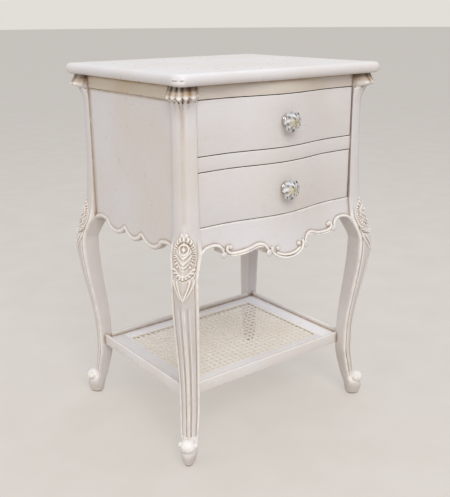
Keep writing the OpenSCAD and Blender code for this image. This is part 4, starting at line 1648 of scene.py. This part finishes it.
@dataclass
class Sides(Assembly):
    """The side panels with their scalloped edges, and the rails over them."""

    scallop_half: float = 34.0
    scallop_mid: float = 64.0
    centre_half: float = 30.0
    scallop_depth: float = 14.0
    scallop_drop: float = 55.0
    arch_mid: float = 115.0
    arch_r: float = 45.0
    arch_drop: float = 36.0
    roll_out: float = 3.0
    roll_w: float = 6.5
    columns: int = 220
    rows: int = 26
    near: int = 16
    carved: float = 22.0
    # How strongly the glaze shows beside a leg, and how far it spreads.
    back_joint: tuple[float, float] = (0.45, 14.0)
    front_joint: tuple[float, float] = (0.2, 8.0)
    # How far below the panel's upper edge the rows over the carving lie.
    top_rows: tuple[float, ...] = (6.0, 2.2, 0.0)

    def drop(self, y: float) -> float:
        """Drop of the scalloped edge at y.

        Args:
            y: Distance from the case's middle.

        Returns:
            The drop below the lower drawer's opening.
        """
        u = abs(y)
        if u > self.scallop_mid + self.scallop_half:
            return self.arch_drop + arc_fall(min(abs(u - self.arch_mid), self.arch_r), self.arch_r)
        if u > self.centre_half:
            return self.scallop_drop - arc_fall(u - self.scallop_mid,
                                                arc_radius(self.scallop_half, self.scallop_depth))
        return self.scallop_drop - arc_fall(u, arc_radius(self.centre_half, self.scallop_depth))

    def lip(self, d: float) -> float:
        """Shape the face over the scalloped edge.

        Args:
            d: Distance from the edge.

        Returns:
            How far the face stands out there.
        """
        if d >= self.roll_w:
            return self.roll_out * (1 - ramp(d, self.roll_w, 4.5))
        share = 1 - d / self.roll_w
        return self.roll_out - 3.4 * share ** 2.2

    def edge(self) -> list[tuple[float, float]]:
        """List the points of the scalloped edge, each one as its y and z."""
        places = [self.case.inner_y * (2 * i / self.columns - 1) for i in range(self.columns + 1)]
        return [(y, self.case.lower_bottom - self.drop(y)) for y in places]

    def column(self, y: float) -> int:
        """Which of the edge's points lies at y."""
        return round((y / self.case.inner_y + 1) / 2 * self.columns)

    def distance(self, edge: Sequence[tuple[float, float]], y: float, z: float) -> float:
        """Measure how far a point of the panel lies from the scalloped edge.

        Args:
            edge: The edge's points.
            y: The point's y.
            z: Its height.

        Returns:
            The distance.
        """
        k = self.column(y)
        near = edge[max(0, k - self.near):k + self.near + 1]
        return min(math.hypot(y - a, z - b) for a, b in near)

    def panel(self, side: Side) -> None:
        """Make one panel, with the rolled lip along its lower edge.

        Args:
            side: The side on which it stands.
        """
        case, rows = self.case, self.rows
        edge = self.edge()
        heights = [case.lower_bottom, *(case.upper_top - down for down in self.top_rows)]
        face_rows = rows + len(heights)
        last = face_rows + 3

        def place(u: float, v: float) -> Vector:
            """Place a point of the section, which runs up the face and down the back."""
            y, low = edge[round(u * self.columns)]
            j = round(v * last)
            if j <= rows:
                z = low + self.carved * (j / rows) ** 1.3
                out = self.lip(self.distance(edge, y, z) if j else 0.0)
                return Vector((side.value * (case.panel_x + out), y, z))
            if j <= face_rows:
                return Vector((side.value * case.panel_x, y, heights[j - rows - 1]))
            if j < last:
                z = case.upper_top if j == face_rows + 1 else low
                return Vector((side.value * case.panel_in_x, y, z))
            return Vector((side.value * (case.panel_x + self.lip(0)), y, low))

        bm = bmesh.new()
        lay_grid(bm, self.columns, last, place)
        cap_holes(bm)
        bmesh.ops.recalc_face_normals(bm, faces=bm.faces)
        self.stain(bm, edge)
        name = f"side_panel_{side.word}"
        self.shop.piece(f"painted_{name}", bm, "paint_z", Slot.PAINT, Body.CASE, [name])

    def stain(self, bm: bmesh.types.BMesh, edge: Sequence[tuple[float, float]]) -> None:
        """Mark the roll's crest, whitened as painted highlight, the glaze in the cove over it and next to
        the legs, and the painted shade under the rail and along the lower edge.

        Args:
            bm: The panel's mesh.
            edge: The points of its scalloped edge.
        """
        case = self.case
        back, back_w = self.back_joint
        front, front_w = self.front_joint
        rub = bm.verts.layers.float.new("rub")
        glaze = bm.verts.layers.float.new("glaze")
        for vert in bm.verts:
            y, z = vert.co.y, vert.co.z
            if abs(vert.co.x) < case.panel_x - 0.6:
                continue
            joint = back * hump((case.inner_y - y) / back_w) + front * hump((case.inner_y + y) / front_w)
            if z > edge[self.column(y)][1] + self.carved + 0.01:
                # Painted shade under the rail, in the glaze colour.
                vert[glaze] = max(joint, 0.9 * ramp(z, case.upper_top - 6, 6))
                continue
            d = self.distance(edge, y, z)
            # The roll's crest is whitened as painted highlight; the glaze colour at the lower edge is
            # painted shade.
            vert[rub] = hump((d - 5.4) / 3.2)
            vert[glaze] = max(0.55 * hump((d - 10) / 2.6), 0.4 * hump(d / 2.6), joint * ramp(d, 8, 4))

    def build(self) -> None:
        """Make both sides."""
        for side in Side:
            self.panel(side)
            # The side rail takes the paint darkened as painted shade, with a painted shadow line along its
            # lower edge.
            self.board(f"side_top_rail_{side.word}", "paint_rail", Slot.PAINT, Body.CASE, 1.2, 0.7)


@dataclass
class Back(Assembly):
    """The back panel and its lower rail."""

    def build(self) -> None:
        """Make the panel and the rail with eased edges."""
        self.board("back_panel", "paint_z", Slot.PAINT, Body.CASE, 0.8)
        self.board("back_rail", "paint_x", Slot.PAINT, Body.CASE, 1.2)


@dataclass
class Drawer(BowedWork):
    """A drawer: its serpentine front, its box and its knob."""

    body: Body = Body.UPPER
    facets: int = 8
    # Each ring's distance out, and its radius at the tips and at the valleys between them.
    knob_steps: Table = (
        (0.0, 8.5, 8.5), (4.0, 15.0, 13.4), (6.8, 18.9, 16.4), (10.0, 18.9, 16.4),
        (13.0, 16.0, 14.0), (16.0, 13.4, 12.0), (18.4, 9.4, 8.0), (19.9, 5.5, 5.5))
    # Each point's distance out and its radius.
    base_profile: Table = (
        (0.0, 0.0), (0.0, 9.4), (0.5, 9.9), (1.5, 9.9), (2.1, 9.2), (2.6, 7.4), (3.6, 6.3), (5.0, 6.3),
        (6.2, 7.4), (7.1, 9.3), (7.6, 9.9), (8.0, 9.9), (8.0, 0.0))
    ring_deep: float = 2.6
    shades: tuple[float, ...] = (0.0, 0.4, 0.0, 1.0, 0.15, 0.0, 0.7)
    # Where the painted warm glow of the base, seen through the glass, lies in the crystal's face.
    heart_left: float = 3.5
    heart_r: float = 8.0
    heart_out: float = 13.0

    @property
    def word(self) -> str:
        """The drawer's place, as its pieces' names give it."""
        return self.body.value.split("_")[0]

    def panel(self) -> None:
        """Make the drawer's front."""
        node = f"{self.word}_drawer_front"
        low, high = self.box(node)
        self.serpentine(f"painted_{node}", node, high.x, low.z, high.z, high.y, self.body)

    def sides(self) -> None:
        """Make the grooved sides and the back of the drawer's box."""
        floor_low, floor_high = self.box(f"{self.word}_drawer_bottom")
        for side in Side:
            node = f"{self.word}_drawer_side_{side.word}"
            low, high = self.box(node)
            groove = floor_high.x if side is Side.RIGHT else -floor_low.x
            outer = max(abs(low.x), abs(high.x))
            inner = min(abs(low.x), abs(high.x))
            section = [(inner, low.z), (outer, low.z), (outer, high.z), (inner, high.z),
                       (inner, floor_high.z), (groove, floor_high.z), (groove, floor_low.z),
                       (inner, floor_low.z)]
            bm = bmesh.new()
            add_prism(bm, [Vector((side.value * x, low.y, z)) for x, z in section],
                      Vector((0, high.y - low.y, 0)))
            soften(bm, 0.7, 2)
            self.shop.piece(f"pine_{node}", bm, "wood_y", Slot.WOOD, self.body, [node])
        self.board(f"{self.word}_drawer_back", "wood_x", Slot.WOOD, self.body, 0.7)

    def knob_root(self, node: str) -> Vector:
        """Give the point on the knob's axis from which one of its pieces stands out.

        Args:
            node: The piece's node.

        Returns:
            The point.
        """
        low, high = self.box(f"{self.word}_knob_crystal")
        return Vector((0, self.box(node)[1].y, (low.z + high.z) / 2))

    def crystal(self) -> None:
        """Cut the knob's crystal, and mark the painted light and shade of each facet and the painted glow in
        its middle.
        """
        node = f"{self.word}_knob_crystal"
        root = self.knob_root(node)
        count = 2 * self.facets
        last = len(self.knob_steps) - 1

        def place(u: float, v: float) -> Vector:
            """Place a point at u round the knob and v out along it."""
            k = round(u * count)
            step = round(v * last)
            out, tip, valley = self.knob_steps[step]
            angle = math.tau * (k + 0.5 * (step % 2)) / count
            radius = tip if k % 2 == 0 else valley
            return root + Vector((radius * math.cos(angle), -out, radius * math.sin(angle)))

        bm = bmesh.new()
        lay_grid(bm, count, last, place)
        cap_holes(bm)
        bmesh.ops.poke(bm, faces=[face for face in bm.faces if len(face.verts) > 4])
        bmesh.ops.triangulate(bm, faces=[face for face in bm.faces if len(face.verts) == 4])
        # Painted light and shade on the facets, and the painted glow of the base in the middle.
        facet = bm.faces.layers.float.new("facet")
        heart = bm.faces.layers.float.new("heart")
        for face in bm.faces:
            centre = face.calc_center_median() - root
            turn = round(2 * count * (math.atan2(centre.z, centre.x) / math.tau + 1))
            ring = round(-centre.y / self.ring_deep)
            face[facet] = self.shades[(3 * turn + 5 * ring) % len(self.shades)]
            in_heart = math.hypot(centre.x + self.heart_left, centre.z) < self.heart_r
            face[heart] = 1.0 if in_heart and centre.y < -self.heart_out else 0.0
        self.shop.piece(f"cut_{node}", bm, "crystal", Slot.CRYSTAL, self.body, [node], crease=4)

    def base(self) -> None:
        """Turn the knob's metal base."""
        node = f"{self.word}_knob_base"
        root = self.knob_root(node)
        bm = bmesh.new()
        profile = [bm.verts.new(root + Vector((radius, -out, 0))) for out, radius in self.base_profile]
        edges = [bm.edges.new(pair) for pair in zip(profile, profile[1:])]
        bmesh.ops.spin(bm, geom=profile + edges, cent=root, axis=(0, -1, 0), angle=math.tau, steps=48,
                       use_merge=True)
        self.shop.piece(f"turned_{node}", bm, "silver", Slot.SILVER, self.body, [node], crease=50)

    def build(self) -> None:
        """Make the whole drawer."""
        self.panel()
        self.sides()
        self.shop.carry_over(f"{self.word}_drawer_bottom", "wood_x")
        self.crystal()
        self.base()
        self.shop.carry_over(f"{self.word}_knob_screw", "steel")


@dataclass
class Shelf(Assembly):
    """The lower shelf: its rim, its boards, the woven cane and the spline round it."""

    pitch: float = 12.7
    strand_w: float = 2.3
    strand_t: float = 0.42
    pair_gap: float = 3.1
    deep_at: float = -0.55
    across_at: float = 0.15
    spline_w: float = 4.0

    def rims(self) -> None:
        """Make the four strips of the rim and the four boards, with rounded edges."""
        for word, run in (("front", "x"), ("back", "x"), ("left", "y"), ("right", "y")):
            self.board(f"shelf_rim_{word}", f"rim_{run}", Slot.PAINT, Body.CASE, 1.8)
            if run == "x":
                self.board(f"shelf_board_{word}", "shelf_x", Slot.PAINT, Body.CASE, 0.5)
            else:
                self.side_board(f"shelf_board_{word}", "shelf_y")

    def side_board(self, node: str, finish: str) -> None:
        """Make a side board, which runs past the end rims as far as the legs.

        Args:
            node: The node that it stands for.
            finish: The name of its finish.
        """
        low, high = self.box(node)
        end = self.box("shelf_board_back")[1].y
        leg_in = self.box("shelf_rim_front")[1].x
        inner, outer = sorted((abs(low.x), abs(high.x)))
        side = 1 if high.x > 0 else -1
        outline = [(inner, -end), (leg_in, -end), (leg_in, low.y), (outer, low.y), (outer, high.y),
                   (leg_in, high.y), (leg_in, end), (inner, end)]
        bm = bmesh.new()
        add_prism(bm, [Vector((side * x, y, low.z)) for x, y in outline], Vector((0, 0, high.z - low.z)))
        soften(bm, 0.5)
        self.shop.piece(f"{node}_wood", bm, finish, Slot.PAINT, Body.CASE, [node])

    def strand(self, bm: bmesh.types.BMesh, path: Sequence[Vector]) -> None:
        """Lay one flat strand of cane.

        Args:
            bm: The sheet's mesh.
            path: Points along the strand's middle.
        """
        steps = len(path) - 1
        half, thick = self.strand_w / 2, self.strand_t
        section = [(-half, 0.0), (-half * 0.6, thick), (half * 0.6, thick), (half, 0.0),
                   (half * 0.6, -thick), (-half * 0.6, -thick)]
        run = (path[-1] - path[0]).normalized()
        across = Vector((-run.y, run.x, 0)).normalized()

        def place(u: float, v: float) -> Vector:
            """Place a point at u round the strand and v along it."""
            a, b = section[round(u * len(section)) % len(section)]
            return path[round(v * steps)] + across * a + Vector((0, 0, b))

        lay_grid(bm, len(section), steps, place)

    def weave(self) -> None:
        """Weave the sheet: pairs both ways and single strands along both diagonals."""
        low, high = self.box("cane_panel")
        x_end, y_end = high.x, high.y
        middle = (low.z + high.z) / 2
        lift = (high.z - low.z) / 2 - self.strand_t
        across = int(x_end / self.pitch)
        deep = int(y_end / self.pitch)
        bm = bmesh.new()
        for i in range(-across, across + 1):
            for off in (-0.5, 0.5):
                x = i * self.pitch + off * self.pair_gap
                self.strand(bm, [Vector((x, y, middle + self.deep_at * lift)) for y in (-y_end, y_end)])
        for j in range(-deep, deep + 1):
            for off in (-0.5, 0.5):
                y = j * self.pitch + off * self.pair_gap
                self.strand(bm, [Vector((x, y, middle + self.across_at * lift)) for x in (-x_end, x_end)])
        span = across + deep
        for slope in (-1, 1):
            for k in range(-span, span + 1):
                start = (k + 0.5) * self.pitch
                points = []
                for n in range(-2 * deep - 2, 2 * deep + 3):
                    y = n * self.pitch / 2
                    x = start + slope * y
                    if abs(x) <= x_end and abs(y) <= y_end:
                        wave = lift if (n + (slope > 0)) % 2 else -lift
                        points.append(Vector((x, y, middle + wave)))
                if len(points) > 2:
                    self.strand(bm, points)
        self.shop.piece("woven_cane", bm, "cane", Slot.CANE, Body.CASE, ["cane_panel"], crease=60)

    def spline(self) -> None:
        """Lay the four strips that hold the cane's edges."""
        low, high = self.box("cane_spline")
        half = self.spline_w / 2
        bm = bmesh.new()
        for sign in (-1, 1):
            y = sign * (high.y - half)
            add_box(bm, Vector((low.x + 2 * half, y - half, low.z)),
                    Vector((high.x - 2 * half, y + half, high.z)))
            x = sign * (high.x - half)
            add_box(bm, Vector((x - half, low.y, low.z)), Vector((x + half, high.y, high.z)))
        edges = [edge for edge in bm.edges if edge.calc_face_angle(0) > 0.5]
        bmesh.ops.bevel(bm, geom=edges, offset=0.6, segments=3, profile=0.5, affect="EDGES", material=-1,
                        clamp_overlap=True)
        self.shop.piece("rounded_cane_spline", bm, "cane", Slot.CANE, Body.CASE, ["cane_spline"])

    def build(self) -> None:
        """Make the shelf."""
        self.rims()
        self.weave()
        self.spline()


@dataclass
class Inside(Assembly):
    """The plain pieces inside the case, which keep their own shape."""

    along_y: tuple[str, ...] = ("kicker", "upper_runner", "lower_runner", "upper_guide", "lower_guide")
    along_x: tuple[str, ...] = ("dust_panel", "bottom_panel", "upper_drawer_stops", "lower_drawer_stops",
                                "corner_blocks")

    def build(self) -> None:
        """Give each of them its wood, and the screws their steel."""
        for stem in self.along_y:
            for side in Side:
                self.shop.carry_over(f"{stem}_{side.word}", "wood_y")
        for node in self.along_x:
            self.shop.carry_over(node, "wood_x")
        self.shop.carry_over("top_screws", "steel")


@dataclass(frozen=True)
class Lamp:
    """A soft lamp, aimed at the middle of the table."""

    name: str
    at: tuple[float, float, float]
    size: float
    watts: float
    colour: Colour


@dataclass
class Studio:
    """A pale floor, soft lamps and the camera."""

    camera_at: tuple[float, float, float] = (-0.8757, -1.1496, 0.7902)
    yaw: float = 37.47
    pitch: float = -17.75
    roll: float = -0.41
    focal_px: float = 738.09
    image_h: int = 497
    sensor: float = 36.0
    aim: tuple[float, float, float] = (0.0, 0.0, 0.4)
    backdrop: Colour = srgb(226, 222, 216)
    floor_r: float = 40.0
    floor_shades: tuple[Colour, Colour] = (srgb(205, 196, 186), srgb(212, 204, 195))
    glow: float = 0.55
    air: float = 0.55
    air_colour: Colour = (0.95, 0.95, 1.0)
    lamps: tuple[Lamp, ...] = (
        Lamp("key", (-1.1, -2.4, 2.5), 2.0, 60.0, (1.0, 0.99, 0.98)),
        Lamp("overhead", (0.5, 0.2, 2.8), 2.4, 20.0, (0.84, 0.9, 1.0)),
        Lamp("fill", (-2.6, 0.6, 1.3), 1.8, 12.0, (1.0, 0.98, 0.95)),
    )

    def floor(self) -> None:
        """Lay the floor, which takes the shadow and glows faintly where it is looked at."""
        bm = bmesh.new()
        bmesh.ops.create_circle(bm, cap_ends=True, segments=96, radius=self.floor_r)
        mesh = bpy.data.meshes.new("floor")
        bm.to_mesh(mesh)
        bm.free()
        made = bpy.data.objects.new("floor", mesh)
        bpy.context.scene.collection.objects.link(made)
        material = bpy.data.materials.new("pale_floor")
        material.use_nodes = True
        material.node_tree.nodes.clear()
        w = Wiring(material.node_tree)
        speck = w.noise(w.place(), 9.0, 5.0)
        colour = w.mix(w.spread(speck, 0.3, 0.7), *self.floor_shades)
        plain = w.add("ShaderNodeBsdfDiffuse", {"Color": colour})
        glow = w.add("ShaderNodeEmission", {"Color": self.backdrop, "Strength": 1.0})
        seen = w.math("MULTIPLY", self.seen(w), self.glow)
        shader = w.add("ShaderNodeMixShader", {0: seen, 1: plain.outputs[0], 2: glow.outputs[0]})
        w.add("ShaderNodeOutputMaterial", {"Surface": shader.outputs[0]})
        mesh.materials.append(material)

    @staticmethod
    def seen(w: Wiring) -> bpy.types.NodeSocket:
        """Tell the rays that look at the backdrop from those that light the table.

        Args:
            w: The node tree of the floor or of the world.

        Returns:
            A socket with 1 for rays from the camera, from gloss and through glass.
        """
        path = w.add("ShaderNodeLightPath").outputs
        looked = w.math("MAXIMUM", path["Is Camera Ray"], path["Is Glossy Ray"])
        return w.math("MAXIMUM", looked, path["Is Transmission Ray"])

    def world(self) -> None:
        """Give the air a soft light, and the backdrop its own colour."""
        world = bpy.data.worlds.new("studio")
        world.use_nodes = True
        world.node_tree.nodes.clear()
        w = Wiring(world.node_tree)
        air = w.add("ShaderNodeBackground", {"Color": self.air_colour, "Strength": self.air})
        back = w.add("ShaderNodeBackground", {"Color": self.backdrop, "Strength": 1.0})
        mixed = w.add("ShaderNodeMixShader", {0: self.seen(w), 1: air.outputs[0], 2: back.outputs[0]})
        w.add("ShaderNodeOutputWorld", {"Surface": mixed.outputs[0]})
        bpy.context.scene.world = world

    def light(self) -> None:
        """Hang the lamps."""
        for lamp in self.lamps:
            data = bpy.data.lights.new(lamp.name, "AREA")
            data.shape = "DISK"
            data.size = lamp.size
            data.energy = lamp.watts
            data.color = lamp.colour
            made = bpy.data.objects.new(lamp.name, data)
            made.location = lamp.at
            made.rotation_euler = (Vector(self.aim) - Vector(lamp.at)).to_track_quat("-Z", "Y").to_euler()
            bpy.context.scene.collection.objects.link(made)

    def camera(self, shift_y: float) -> None:
        """Set the camera where the photograph was taken from.

        Args:
            shift_y: How far the case's middle lies from the frame's, in millimetres.
        """
        data = bpy.data.cameras.new("camera")
        data.sensor_width = self.sensor
        data.lens = self.focal_px * self.sensor / self.image_h
        made = bpy.data.objects.new("camera", data)
        turn = (Matrix.Rotation(-math.radians(self.yaw), 4, "Z")
                @ Matrix.Rotation(HALF_PI + math.radians(self.pitch), 4, "X")
                @ Matrix.Rotation(math.radians(self.roll), 4, "Z"))
        made.matrix_world = Matrix.Translation(Vector(self.camera_at) + Vector((0, shift_y * MM, 0))) @ turn
        bpy.context.scene.collection.objects.link(made)
        bpy.context.scene.camera = made

    def build(self, shift_y: float) -> None:
        """Set up the whole studio.

        Args:
            shift_y: How far the case's middle lies from the frame's, in millimetres.
        """
        self.camera(shift_y)
        self.floor()
        self.world()
        self.light()
        bpy.context.scene.view_settings.view_transform = "Standard"


def main() -> None:
    """Build every sub-assembly in order."""
    logging.basicConfig(level=logging.INFO, format="%(name)s %(message)s")
    sizes = CaseSizes()
    shop = Workshop(sizes)
    case = Case.measured(sizes)
    Studio().build(sizes.shift_y)
    parts = (TopBoard(shop, case), Legs(shop, case), Front(shop, case), Sides(shop, case),
             Back(shop, case), Drawer(shop, case, body=Body.UPPER), Drawer(shop, case, body=Body.LOWER),
             Shelf(shop, case), Inside(shop, case))
    for part in parts:
        part.build()
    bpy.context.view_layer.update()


if __name__ == "__main__":
    main()
